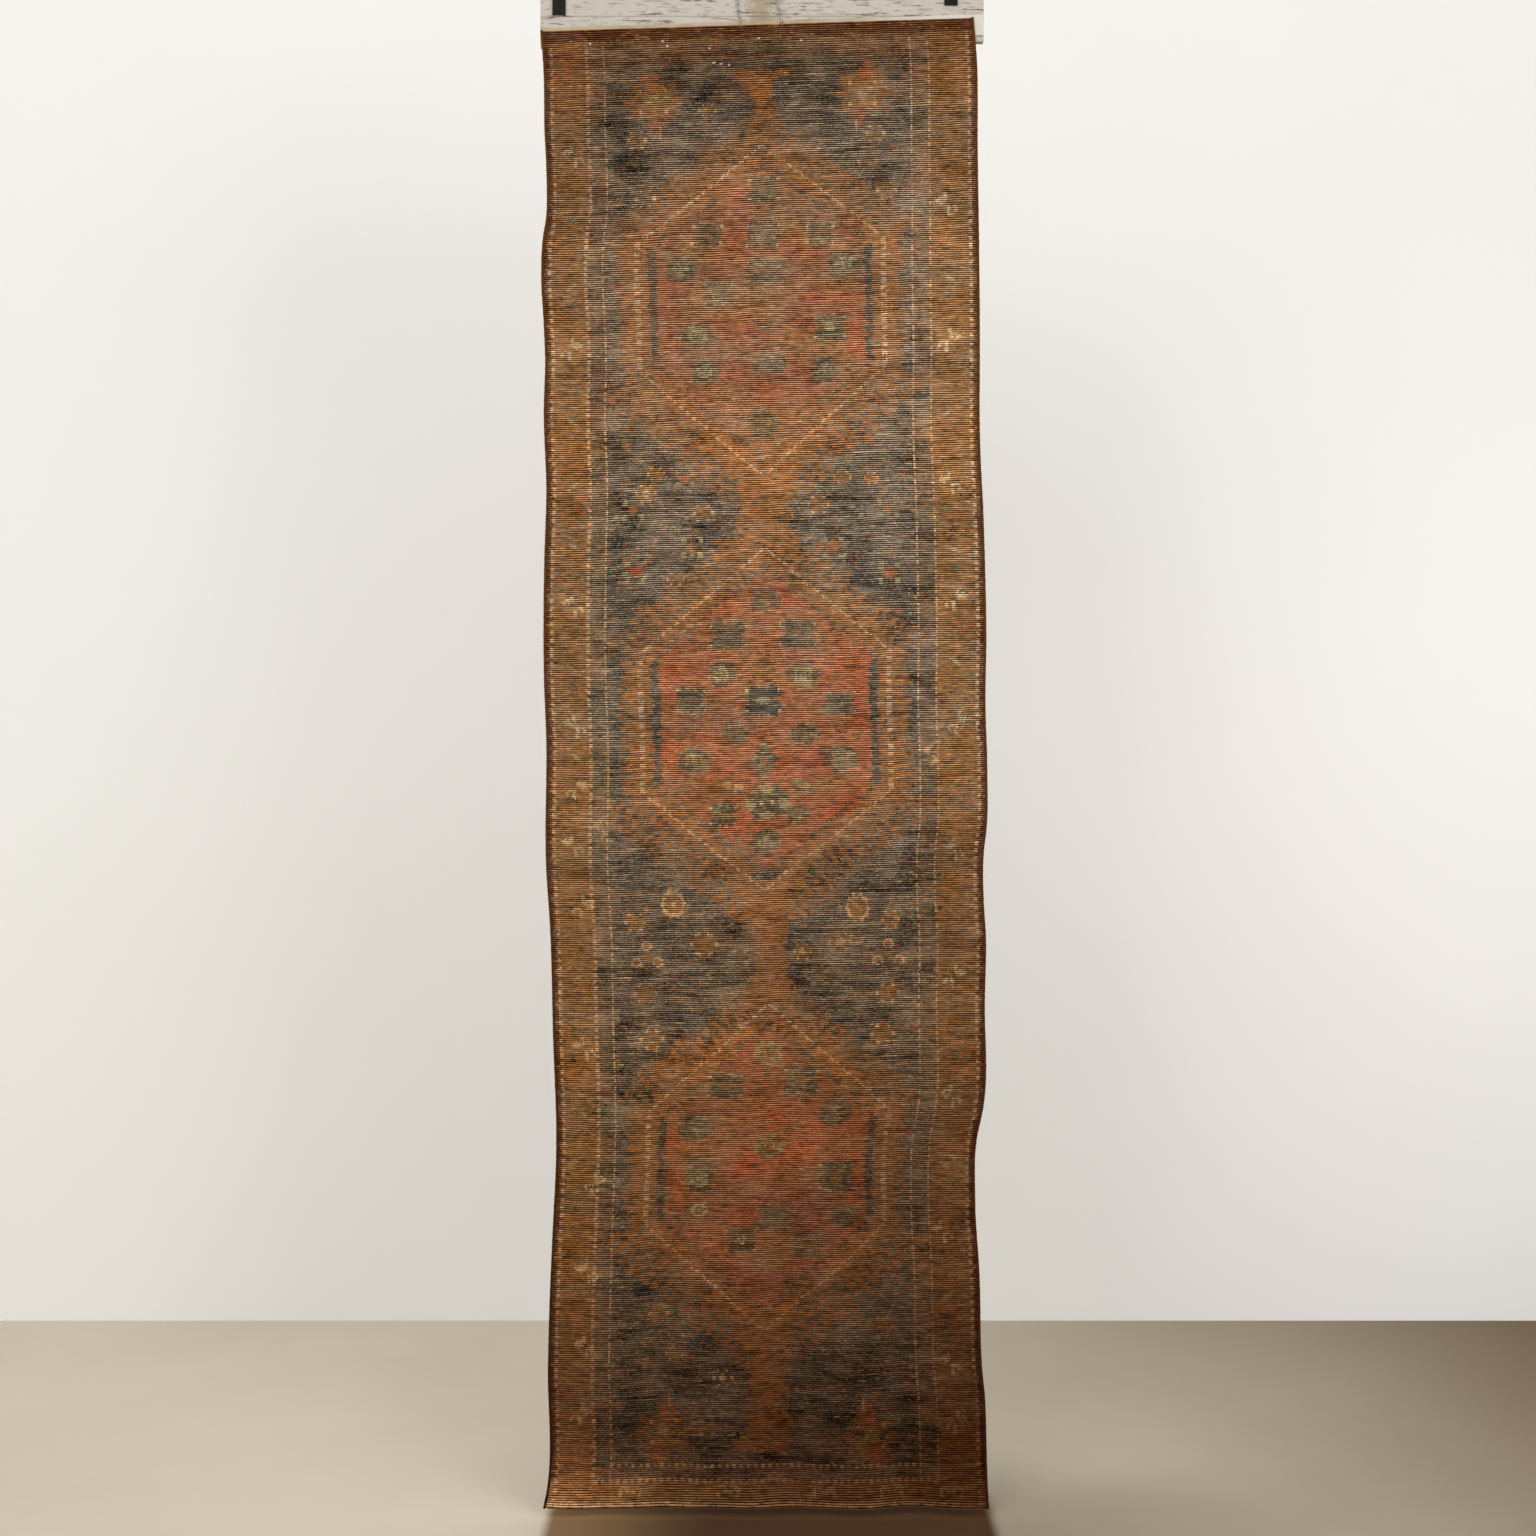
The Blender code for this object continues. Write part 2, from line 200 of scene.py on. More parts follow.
FLOWERS = rows_of("form knot row wide heart dots", [
    ("dots", -73, 229, 5.6, MADDER, SAGE), ("dots", -40, 247, 6.2, ORANGE, SAGE),
    ("dots", -71, 258, 6.2, MADDER, SAGE), ("dots", 69, 230, 5.6, GOLD, SAGE),
    ("dots", 38, 248, 6.6, MADDER, SAGE), ("dots", 69, 261, 6.4, MADDER, SAGE),
    ("blob", -60, 212, 4.6, CAMEL, GOLD), ("dots", -44, 214, 4.6, MADDER, SAGE),
    ("blob", 44, 215, 4.6, CAMEL, GOLD), ("blob", 60, 216, 4.4, ORANGE, GOLD),
    ("blob", -66, 221, 5.4, GOLD, IVORY), ("blob", -34, 231, 5.6, CAMEL, GOLD),
    ("blob", 30, 228, 5.8, CAMEL, GOLD), ("blob", -49, 262, 5.0, CAMEL, GOLD),
    ("wreath", -52, 416, 6.4, ORANGE, IVORY), ("wreath", 51, 418, 6.4, ORANGE, IVORY),
    ("blob", -74, 424, 5.6, GOLD, OLIVE), ("blob", 69, 424, 5.2, GOLD, OLIVE),
    ("blob", -36, 435, 7.4, CAMEL, GOLD), ("blob", 40, 434, 6.6, CAMEL, IVORY),
    ("three", -68, 440, 7.4, MADDER, IVORY), ("three", 67, 440, 7.4, MADDER, IVORY),
    ("dots", -16, 441, 4.6, GOLD, SAGE), ("blob", 19, 439, 5.2, GOLD, IVORY),
    ("dots", 29, 451, 4.8, GOLD, SAGE), ("blob", -69, 458, 6.6, CAMEL, GOLD),
    ("blob", 67, 459, 6.4, CAMEL, GOLD), ("dots", -48, 460, 4.8, OLIVE, GOLD),
    ("blob", 64, 478, 6.4, CAMEL, GOLD), ("blob", -66, 480, 6.4, CAMEL, OLIVE),
    ("blob", -70, 53, 5.6, GOLD, OLIVE), ("blob", 64, 53, 5.6, GOLD, OLIVE),
    ("blob", -30, 40, 5.0, OLIVE, GOLD), ("blob", -66, 81, 5.4, OLIVE, GOLD),
    ("blob", 70, 80, 5.4, GOLD, OLIVE), ("blob", 60, 66, 5.4, OLIVE, GOLD),
    ("blob", -60, 610, 5.4, GOLD, OLIVE), ("blob", 66, 616, 6.2, CAMEL, GOLD),
    ("dots", -50, 617, 5.2, BROWN, SAGE), ("dots", 37, 624, 5.2, OLIVE, SAGE),
    ("blob", -51, 629, 5.0, GOLD, OLIVE), ("dots", -70, 629, 4.8, OLIVE, GOLD),
    ("dots", 58, 634, 5.2, OLIVE, GOLD), ("blob", -24, 640, 5.4, TEAL, IVORY),
    ("dots", -14, 668, 4.4, OLIVE, GOLD), ("dots", -34, 664, 4.8, GOLD, SAGE),
    ("dots", 24, 664, 4.8, OLIVE, GOLD),
])

CORNERS = rows_of("knot row points_down", [
    (-60, 35, True), (57, 34, True), (-58, 666, False), (57, 668, False),
])

# Small hooked pairs of the main border, in ivory and gold.
HOOK_PAIRS = rows_of("knot row turn", [
    (-106, 60, 1), (-107, 152, -1), (-105, 274, 1), (-105, 331, 1), (-105, 361, -1), (-106, 388, 1),
    (-103, 417, -1), (-104, 484, 1), (-99, 548, -1), (-101, 590, 1), (-101, 626, 1), (-104, 657, -1),
    (104, 88, 1), (104, 152, -1), (104, 219, 1), (105, 274, -1), (106, 332, -1), (105, 392, 1),
    (104, 452, -1), (103, 508, 1), (102, 572, 1), (104, 634, 1), (105, 662, -1),
])
# Short slanting slips of the main border, between the hooked pairs.
SLIPS = rows_of("knot row turn", [
    (-106, 90, 1), (-105, 122, -1), (-106, 186, 1), (-107, 217, -1), (-105, 246, 1), (-106, 303, 1),
    (-105, 346, 1), (-106, 450, -1), (-104, 516, 1), (104, 60, -1), (105, 122, 1), (104, 186, -1),
    (105, 250, 1), (105, 303, 1), (104, 360, -1), (105, 422, 1), (104, 480, -1), (104, 540, 1),
    (103, 602, -1),
])
FOOT_HOOKS = [-76, -22, 31, 68, 101]

GUARD_FIGURES = rows_of("knot row dye", [
    (-92, 347, OLIVE), (-91, 380, IVORY), (91, 347, IVORY), (-92, 331, TEAL), (90, 120, OLIVE),
    (-92, 482, OLIVE), (89, 480, OLIVE),
])

# Long worn streaks and patches, where the dark wefts show.
STREAKS = rows_of("row start end", [
    (59, -116, -96), (60, -84, -38), (131, -62, -50), (136, -62, -30), (139, -38, -20), (177, 62, 100),
    (222, -60, -20), (225, 22, 66), (244, -58, -30), (252, -80, -66), (293, -80, -36), (294, -14, 54),
    (300, 60, 90), (320, -68, 74), (332, -64, 62), (410, 6, 78), (425, -68, -14), (428, 12, 60),
    (431, 70, 112), (445, 6, 74), (449, -86, -24), (486, 44, 64), (489, 48, 72), (515, 8, 32),
    (520, 66, 90), (585, -79, -60), (605, -40, 10), (637, -58, -44), (651, 60, 110), (678, 0, 48),
    (680, 56, 96), (645, -80, -60),
])
DARK_PATCHES = rows_of("knot row wide tall", [
    (-76, 284, 12, 6), (-70, 289, 18, 5), (58, 420, 26, 8), (-60, 425, 18, 10), (14, 440, 14, 8),
    (68, 456, 20, 6), (62, 508, 22, 6), (-70, 470, 18, 10), (66, 598, 20, 20), (-70, 600, 16, 8),
    (-40, 640, 30, 12), (34, 644, 36, 12), (-80, 675, 14, 8), (20, 676, 30, 6), (-68, 100, 16, 12),
    (70, 262, 14, 10), (-14, 40, 20, 8), (26, 47, 22, 10), (-62, 60, 26, 8), (66, 70, 12, 14),
])

# How light the wool is painted down each side of the rug, in red, green and blue: it darkens and reddens
# towards both ends, and more so at the right. This is partly the wool's own fading and partly painted
# shade, where the light falls off towards the ends and to the right.
FADES_AND_SHADE = rows_of("row left right", [
    (0, (0.86, 0.74, 0.62), (0.80, 0.68, 0.56)), (14, (0.66, 0.56, 0.50), (0.72, 0.64, 0.58)),
    (35, (0.76, 0.70, 0.66), (0.88, 0.85, 0.84)), (150, (0.98, 0.93, 0.89), (1.07, 1.08, 1.09)),
    (319, (0.90, 0.90, 0.90), (0.92, 0.97, 1.04)), (461, (0.86, 0.78, 0.70), (0.66, 0.58, 0.50)),
    (560, (0.66, 0.60, 0.52), (0.43, 0.36, 0.32)), (674, (0.39, 0.29, 0.24), (0.21, 0.14, 0.10)),
    (700, (0.52, 0.45, 0.40), (0.24, 0.15, 0.10)),
])
WOOL_LIGHT = 0.86
# The knots: how light a tip is, how far it can wear, how dark its bare places are on dark wool and
# how much less on light wool, and the warm tint of the roots. The tips are lightened partly as a painted
# highlight on the crests of the rows, and the roots are darkened partly as painted shade between them.
TIP_LIGHT = 1.22
MOST_WORN = 0.85
BARE_TIP = 0.52
BARE_ON_LIGHT = 0.45
ROOT_TINT = (0.86, 0.50, 0.20)
# A painted highlight where the flared hem catches the light at the left.
GLOW, GLOW_START, GLOW_REACH = 1.4, 668, 0.22
# How far the madder has kept its red, and how far the design has gone to dust, going down the rug.
KEPT_ROWS = [57, 110, 135, 175, 200, 250, 290, 320, 400, 464, 500, 560, 620]
KEPT_RED = [0.14, 0.16, 0.26, 0.34, 0.28, 0.54, 0.68, 0.76, 0.68, 0.42, 0.58, 0.60, 0.48]
WORN_ROWS = [0, 30, 60, 200, 260, 400, 700]
WORN_MORE = [0.8, 0.9, 1.1, 1.1, 1.0, 1.05, 1.0]
DUST_ROWS = [0, 57, 110, 150, 214, 250, 410, 470, 520, 620, 700]
DUST = [0.40, 0.34, 0.32, 0.28, 0.15, 0.08, 0.08, 0.18, 0.18, 0.14, 0.12]

LINT_PLACES = [
    (-0.417, -0.072), (-0.241, -0.065), (-0.230, -0.077), (-0.128, -0.082), (-0.116, -0.118),
    (-0.100, -0.121), (-0.080, -0.124), (-0.008, -0.058), (0.095, -0.063),
]

# The floor, the wall behind and the camera, from the photograph's view.
FLOOR_Z = -3.645
WALL_Y = 1.72
WALL_TOP_Z = 5.0
STAGE_REACH = 9.0
LIGHT_TARGET = (0.0, 0.0, -1.5)
LIGHT_COLOUR = (1.0, 0.985, 0.96)
CAMERA_PLACE = (0.0146, -5.027, -1.832)
CAMERA_LENS = 48.2


def srgb(red, green, blue):
    """A colour read from 0 to 255, as linear values."""
    values = np.array([red, green, blue]) / 255.0
    linear = np.where(values < 0.04045, values / 12.92, ((values + 0.055) / 1.055) ** 2.4)
    return tuple(float(value) for value in linear)


def colour_setting(name, description, default):
    return FloatVectorProperty(
        name=name, description=description, default=default, subtype="COLOR", size=3, min=0.0, max=1.0
    )


def length_setting(name, description, default):
    return FloatProperty(
        name=name, description=description, default=default, min=0.0, subtype="DISTANCE", unit="LENGTH"
    )


class DyeSettings(bpy.types.PropertyGroup):
    """Colours of the yarns."""

    indigo: colour_setting("Indigo", "Ground of the field", srgb(48, 50, 50))
    camel: colour_setting("Camel", "Main border and medallion bands", srgb(158, 108, 50))
    madder: colour_setting("Madder", "Ground of the medallions", srgb(204, 104, 58))
    ivory: colour_setting("Ivory", "Hooks and small dots", srgb(198, 174, 136))
    olive: colour_setting("Olive", "Rosettes", srgb(88, 82, 56))
    oxblood: colour_setting("Oxblood", "Top end and plain edges", srgb(90, 46, 15))
    gold: colour_setting("Gold", "Bottom end and small marks", srgb(170, 124, 68))
    teal: colour_setting("Teal", "Columns inside the medallions", srgb(68, 71, 64))
    brown: colour_setting("Brown", "Guard stripes", srgb(116, 88, 60))
    orange: colour_setting("Orange", "Hearts of the flowers", srgb(180, 116, 62))
    sage: colour_setting("Sage", "Pale hearts of the rosettes", srgb(172, 158, 116))
    sand: colour_setting("Sand", "Dotted lines", srgb(204, 172, 138))
    dusty: colour_setting("Dusty", "Madder where it has faded", srgb(160, 112, 80))
    foundation: colour_setting("Foundation", "Cotton that shows at worn tips", srgb(194, 170, 143))
    weft: colour_setting("Weft", "Dark shoots between the rows", srgb(24, 13, 6))


class PileSettings(bpy.types.PropertyGroup):
    """Relief and wear of the pile."""

    relief: length_setting("Relief", "Height of a row of knots over the weft beside it", 0.0009)
    waver: length_setting("Waver", "How far a row wanders from level", 0.0011)
    seed: IntProperty(name="Seed", description="Picks the wear", default=11, min=0)


class EdgeSettings(bpy.types.PropertyGroup):
    """Overcast sides and warp ends."""

    pitch: length_setting("Stitch Pitch", "Distance between overcast stitches", 0.0058)
    yarn: length_setting("Yarn Thickness", "Thickness of the overcast yarn", 0.0026)
    colour: colour_setting("Binding", "Colour of the overcast yarn", srgb(100, 58, 25))
    low_colour: colour_setting("Binding Low", "Its colour near the floor", srgb(62, 30, 12))
    warp_pitch: length_setting("Warp Pitch", "Distance between warp ends at the hem", 0.0046)
    warp_length: length_setting("Warp Length", "Length of a warp end at the hem", 0.0028)


class BoardSettings(bpy.types.PropertyGroup):
    """Board, tape and iron."""

    whitewash: colour_setting("Whitewash", "Paint left on the board", srgb(180, 174, 164))
    wood: colour_setting("Bare Wood", "Wood where the paint has gone", srgb(96, 84, 70))
    stain: colour_setting("Stain", "Old stain between the chains", srgb(146, 130, 106))
    tape: colour_setting("Tape", "Cotton of the heading tape", srgb(178, 162, 137))
    tape_end: colour_setting("Tape's End", "Its colour at the right end", srgb(204, 201, 192))
    iron: colour_setting("Iron", "Black paint of the straps", srgb(18, 15, 13))
    steel: colour_setting("Steel", "Metal of the chains", srgb(206, 204, 198))
    link_pitch: length_setting("Link Pitch", "Distance between chain links", 0.0062)
    link_wire: length_setting("Link Wire", "Thickness of the chain's wire", 0.0017)


class StageSettings(bpy.types.PropertyGroup):
    """Floor, wall and light."""

    floor: colour_setting("Floor", "Colour of the floor", srgb(204, 195, 177))
    # Painted shade: the floor darkens to this colour to the right and beside the hem.
    far_floor_shade: colour_setting("Far Floor", "Colour of the floor at the right", srgb(104, 87, 66))
    # The painted shadow and reflection under the hem, and its lighter colour at the left.
    shadow: colour_setting("Shadow", "Colour of the floor under the hem", srgb(70, 46, 26))
    shadow_edge: colour_setting("Shadow's Edge", "Its colour at the left", srgb(132, 104, 72))
    wall: colour_setting("Wall", "Colour of the wall", srgb(239, 239, 237))
    key: FloatProperty(name="Key", description="Power of the main light", default=105.0, unit="POWER")
    fill: FloatProperty(name="Fill", description="Power of the fill light", default=75.0, unit="POWER")
    ambient: FloatProperty(name="Ambient", description="Strength of the light all round", default=0.92)


def smooth_between(rows, drop):
    """Read a table of Edge rows at any drop, on a cubic that passes through every row."""
    drops = np.array([row.drop for row in rows])
    outs = np.array([row.out for row in rows])
    slopes = np.gradient(outs, drops)
    drop = np.clip(drop, drops[0], drops[-1])
    k = np.clip(np.searchsorted(drops, drop) - 1, 0, len(drops) - 2)
    span = drops[k + 1] - drops[k]
    t = (drop - drops[k]) / span
    start = (1 + 2 * t) * (1 - t) ** 2 * outs[k] + t * (1 - t) ** 2 * span * slopes[k]
    end = t * t * (3 - 2 * t) * outs[k + 1] + t * t * (t - 1) * span * slopes[k + 1]
    return start + end


def bell(x, centre, half):
    return np.exp(-((x - centre) / half) ** 2)


def rest_depth():
    """Where the rug's middle surface lies when it is flat against the heading tape."""
    back = BOARD_THICKNESS + CLEARANCE + TAPE_THICKNESS + CLEARANCE
    return -(back + RUG_THICKNESS / 2)


def rug_depth(u, drop):
    """Depth of the rug's middle surface, from the ripples, the curled sides, the crease and the hem."""
    loose = np.clip((drop - BOARD_HEIGHT / 2) / 0.5, 0.0, 1.0)
    ripple = 0.0030 * np.sin(2 * math.pi * (1.35 * u + 0.22 * drop + 0.10))
    billow = 0.0045 * np.sin(2 * math.pi * (drop / 1.9 + 0.35 * u))
    curl = 0.0040 * np.sin(2 * math.pi * drop / 1.15)
    sides = curl * (bell(u, 0.0, 0.09) - bell(u, 1.0, 0.09))
    crease = CREASE_DEPTH * bell(drop, CREASE_DROP, CREASE_HALF) * bell(u, 0.0, 0.45)
    hem = np.maximum(0.0, (drop + RUG_HEM_Z + HEM_FLARE_HEIGHT) / HEM_FLARE_HEIGHT)
    scallop = 1 + 0.16 * np.sin(2 * math.pi * (4.3 * u + 0.15))
    flare = -HEM_FLARE_REACH * hem ** 1.8 * scallop
    return rest_depth() + loose * (ripple + billow + sides) + crease + flare


def top_z(u):
    return RUG_TOP_LEFT_Z + (RUG_TOP_RIGHT_Z - RUG_TOP_LEFT_Z) * u


def hem_z(u):
    lift = 0.5 + 0.5 * np.sin(2 * math.pi * (3.6 * u + 0.3))
    return RUG_HEM_Z + HEM_SCALLOP * lift ** 2


def rug_points(u, v):
    """Points of the rug's middle surface: u goes left to right, v from its top edge to its hem."""
    u, v = np.broadcast_arrays(np.asarray(u, float), np.asarray(v, float))
    z = top_z(u) + (hem_z(u) - top_z(u)) * v
    inset = 2 * SELVEDGE_RADIUS + SELVEDGE_GAP
    left = -smooth_between(LEFT_EDGE, -z) + inset
    right = smooth_between(RIGHT_EDGE, -z) - inset
    return np.stack([left + (right - left) * u, rug_depth(u, -z), z], axis=-1)


def surface_normals(points):
    """Unit normals of a grid of points, towards the viewer."""
    along = np.gradient(points, axis=1)
    down = np.gradient(points, axis=0)
    normals = np.cross(along, -down)
    normals /= np.linalg.norm(normals, axis=-1, keepdims=True)
    return np.where(normals[..., 1:2] > 0, -normals, normals)


def soft_noise(rng, rows, knots, shape=(ROWS, KNOTS)):
    """Smooth noise of about unit strength, in blots of the given size in rows and knots."""
    white = rng.standard_normal(shape)
    up = np.fft.fftfreq(shape[0])[:, None] * rows
    along = np.fft.rfftfreq(shape[1])[None, :] * knots
    kept = np.fft.rfft2(white) * np.exp(-2 * np.pi ** 2 * (up ** 2 + along ** 2) * 0.16)
    noise = np.fft.irfft2(kept, s=shape)
    return noise / noise.std()


def colour_noise(rng, rows, knots):
    """Soft noise over the knots, with an axis for the colours."""
    return soft_noise(rng, rows, knots)[..., None]


class Chart:
    """A grid of dyes, one for each knot, that shapes are painted on."""

    def __init__(self):
        self.ground = np.full((ROWS, KNOTS), INDIGO)
        self.fine = np.full((ROWS, KNOTS), -1)
        knot = np.arange(KNOTS) + 0.5 - KNOTS / 2
        row = np.arange(ROWS) + 0.5
        self.knot, self.row = np.meshgrid(knot, row)

    def about(self, knot, row):
        """Centimetres right of and below a place."""
        return (self.knot - knot) * KNOT_CM, (self.row - row) * ROW_CM

    def paint(self, where, dye):
        """Pale dyes go on a layer of their own, because their small dots stay sharp."""
        if dye in FINE_DYES:
            self.fine[where] = dye
        else:
            self.ground[where] = dye
            self.fine[where] = -1


def octagon(x, y, wide, tall):
    a, b = np.abs(x) / (wide / 2), np.abs(y) / (tall / 2)
    return np.maximum(np.maximum(a, b), (a + b) / 1.42) < 1


def diamond(x, y, wide, tall):
    return np.abs(x) / (wide / 2) + np.abs(y) / (tall / 2) < 1


def petal_round(x, y, wide, tall, petals=8, depth=0.16):
    a, b = x / (wide / 2), y / (tall / 2)
    return np.hypot(a, b) < 1 - depth + depth * np.cos(petals * np.arctan2(b, a))


def ring_of_dots(x, y, wide, tall, count):
    a, b = x / (wide / 2), y / (tall / 2)
    near = np.abs(np.hypot(a, b) - 1) < 0.13
    return near & (np.cos(count * np.arctan2(b, a)) > 0.35)


def square_ring(x, y, wide, tall, thick):
    a = np.maximum(np.abs(x) - wide / 2, np.abs(y) - tall / 2)
    return np.abs(a + thick / 2) < thick / 2


def four_spots(x, y, across, down, half):
    return np.maximum(np.abs(np.abs(x) - across), np.abs(np.abs(y) - down)) < half


# Forms of the rosettes and flowers, each as its shapes and their dyes in the order they are painted.
def lobed(x, y, wide, tall, body, heart):
    lobes = octagon(np.abs(x) - wide * 0.24, np.abs(y) - tall * 0.25, wide * 0.5, tall * 0.44)
    yield lobes | octagon(x, y, wide * 0.66, tall * 0.66), body
    yield four_spots(x, y, wide * 0.45, tall * 0.34, 0.34), IVORY
    yield octagon(x, y, wide * 0.36, tall * 0.30), heart
    yield four_spots(x, y, wide * 0.13, tall * 0.46, 0.30), SAGE


def crossed(x, y, wide, tall, body, heart):
    near = octagon(x, y, wide * 0.55, tall * 0.55)
    yield octagon(x, y, wide, tall), body
    yield four_spots(x, y, wide * 0.36, tall * 0.36, 0.55), BROWN
    yield near, heart
    yield (np.abs(np.abs(x) / wide - np.abs(y) / tall) < 0.07) & near, body
    yield diamond(x, y, wide * 0.22, tall * 0.24), heart


def ringed(x, y, wide, tall, body, heart):
    yield octagon(x, y, wide * 1.08, tall * 1.08), body
    yield square_ring(x, y, wide * 0.62, tall * 0.60, 0.70), heart
    yield square_ring(x, y, wide * 0.26, tall * 0.26, 0.50), heart
    yield (np.abs(np.abs(x) - wide * 0.31) < 0.4) & (np.abs(y) < 0.4), MADDER


def plain(x, y, wide, tall, body, heart):
    yield petal_round(x, y, wide, tall, 6, 0.08), body
    yield octagon(x, y, wide * 0.5, tall * 0.5), heart
    yield square_ring(x, y, wide * 0.26, tall * 0.30, 0.45), body


def pale(x, y, wide, tall, body, heart):
    sides = octagon(np.abs(x) - wide * 0.40, y - tall * 0.05, wide * 0.26, tall * 0.34)
    ends = octagon(x, np.abs(y) - tall * 0.38, wide * 0.40, tall * 0.20)
    yield octagon(x, y, wide, tall), body
    yield sides | ends, SAGE
    yield four_spots(x, y, wide * 0.14, 0.0, 0.35), heart


def domed(x, y, wide, tall, body, heart):
    rays = (np.cos(9 * np.arctan2(y - tall * 0.4, x)) > 0.8) & (y < tall * 0.3)
    yield petal_round(x, y, wide, tall, 10, 0.10) & (y < tall * 0.32), body
    yield rays & petal_round(x, y, wide * 0.9, tall * 0.9, 10, 0.1), heart


def chevroned(x, y, wide, tall, body, heart):
    whole = diamond(x, y, wide * 1.15, tall * 1.15)
    yield whole, body
    yield whole & (np.abs(np.mod(y + np.abs(x) * 0.8, 4.0) - 0.4) < 0.42), SAGE
    yield diamond(x, y - 0.8, wide * 0.3, tall * 0.2), heart


def bow(x, y, wide, _tall, body, _heart):
    low = np.abs(y - 0.5 - 0.2 * x) < 0.55
    yield (np.abs(x) < wide / 2) & (np.abs(y - 1.7) < 0.4), OLIVE
    yield (np.abs(np.abs(x) - wide * 0.26) < wide * 0.2) & low, body
    yield octagon(x + wide * 0.2, y + 0.3, 1.5, 1.8), body
    yield octagon(x - wide * 0.12, y - 1.2, 1.2, 1.5), body


def blob(x, y, wide, heart, dots):
    yield petal_round(x, y, wide, wide * 0.9, 6, 0.14), heart
    yield ring_of_dots(x, y, wide * 0.8, wide * 0.72, 6), SAND
    yield diamond(x, y, wide * 0.46, wide * 0.42), dots


def wreath(x, y, wide, heart, dots):
    yield petal_round(x, y, wide, wide * 1.12, 10, 0.07), SAND
    yield octagon(x, y, wide * 0.66, wide * 0.72), GOLD
    yield ring_of_dots(x, y, wide * 0.5, wide * 0.56, 6), heart
    yield diamond(x, y, wide * 0.24, wide * 0.3), dots


def three_buds(x, y, wide, heart, dots):
    for dx, dy in ((0, -1), (-1, 0.7), (1, 0.7)):
        a, b = x - dx * wide * 0.36, y - dy * wide * 0.32
        yield octagon(a, b, wide * 0.36, wide * 0.32), dots
        yield diamond(a, b, wide * 0.28, wide * 0.26), heart
    yield octagon(x, y - wide * 0.05, wide * 0.34, wide * 0.3), GOLD


def four_dots(x, y, wide, heart, dots):
    yield diamond(x, y, wide * 0.6, wide * 0.6), heart
    yield four_spots(x, y, wide * 0.33, wide * 0.31, wide * 0.11), dots


FORMS = {
    "lobes": lobed, "cross": crossed, "ring": ringed, "plain": plain, "pale": pale, "dome": domed,
    "chevrons": chevroned, "bow": bow, "blob": blob, "wreath": wreath, "three": three_buds,
    "dots": four_dots,
}


def paint_figure(chart, spec):
    """One rosette or flower, in its form."""
    x, y = chart.about(spec.knot, spec.row)
    for where, dye in FORMS[spec.form](x, y, *spec[3:]):
        chart.paint(where, dye)


def paint_ground(chart):
    """Main side borders, guards and the ends."""
    knot, row = chart.knot, chart.row
    chart.paint(np.abs(knot) > RIGHT_OUTER_LINE, CAMEL)
    chart.paint((knot < LEFT_INNER_LINE) & (knot > LEFT_OUTER_LINE), BROWN)
    chart.paint((knot > RIGHT_INNER_LINE) & (knot < RIGHT_OUTER_LINE), BROWN)
    inner = (knot > LEFT_OUTER_LINE) & (knot < RIGHT_OUTER_LINE)
    chart.paint(inner & ((row < TOP_GUARD_ROW + 1) | (row > FOOT_INNER_ROW)), BROWN)
    chart.paint(np.abs(knot) > PLAIN_EDGE, OXBLOOD)
    chart.paint(row < TOP_BAND_ROWS, OXBLOOD)
    chart.paint(row > FOOT_OUTER_ROW, GOLD)


def paint_lines(chart):
    """The thin ivory lines, knotted as dashes, over everything else."""
    knot, row = chart.knot, chart.row
    uprights = [
        (LEFT_OUTER_LINE, 0.75, 3.2, 0.62), (RIGHT_OUTER_LINE, 0.75, 3.2, 0.62),
        (LEFT_INNER_LINE, 0.85, 3.8, 0.66), (RIGHT_INNER_LINE, 0.85, 3.8, 0.66),
        (LEFT_DOTS, 1.1, 3.8, 0.54), (RIGHT_DOTS, 1.1, 3.8, 0.54),
    ]
    for place, half, pitch, share in uprights:
        on = np.mod(row / pitch, 1) < share
        end = FOOT_OUTER_ROW + (9 if abs(place) > 100 else 0)
        chart.paint((np.abs(knot - place) < half) & on & (row > TOP_DOTS_ROW) & (row < end), SAND)
    for place in (TOP_DOTS_ROW, TOP_GUARD_ROW, FOOT_INNER_ROW, FOOT_OUTER_ROW):
        on = np.mod(knot / 4.0, 1) < 0.6
        outer = place in (FOOT_OUTER_ROW, TOP_DOTS_ROW)
        left = LEFT_OUTER_LINE if outer else LEFT_INNER_LINE
        right = RIGHT_OUTER_LINE if outer else RIGHT_INNER_LINE
        line_dye = GOLD if place < MEDALLIONS[0].apex else SAND
        chart.paint((np.abs(row - place) < 0.8) & on & (knot > left) & (knot < right), line_dye)
    chart.paint(row > FOOT_EDGE_ROW, SAND)


def band_distance(chart, medallion):
    """Centimetres outside a medallion's ivory line and along it, and where the line is upright."""
    x = np.abs(chart.knot) * KNOT_CM
    y = chart.row * ROW_CM
    half = BAND_HALF_KNOTS * KNOT_CM
    ends = ((medallion.apex, medallion.shoulder, -1), (medallion.foot, medallion.waist, 1))
    slants = []
    for apex, shoulder, way in ends:
        rise = (shoulder - apex) * ROW_CM
        length = np.hypot(half, rise)
        along = (x * half + (y - apex * ROW_CM) * rise) / length
        across = (x * abs(rise) + way * (y - apex * ROW_CM) * half) / length
        slants.append((across, along))
    side = x - half
    out = np.maximum(np.maximum(slants[0][0], slants[1][0]), side)
    middle = (medallion.apex + medallion.foot) / 2
    along = np.where(chart.row < middle, slants[0][1], slants[1][1])
    upright = (side >= np.maximum(slants[0][0], slants[1][0])) & (chart.row > medallion.shoulder - 4)
    upright &= chart.row < medallion.waist + 4
    return out, np.where(upright, y, along), upright


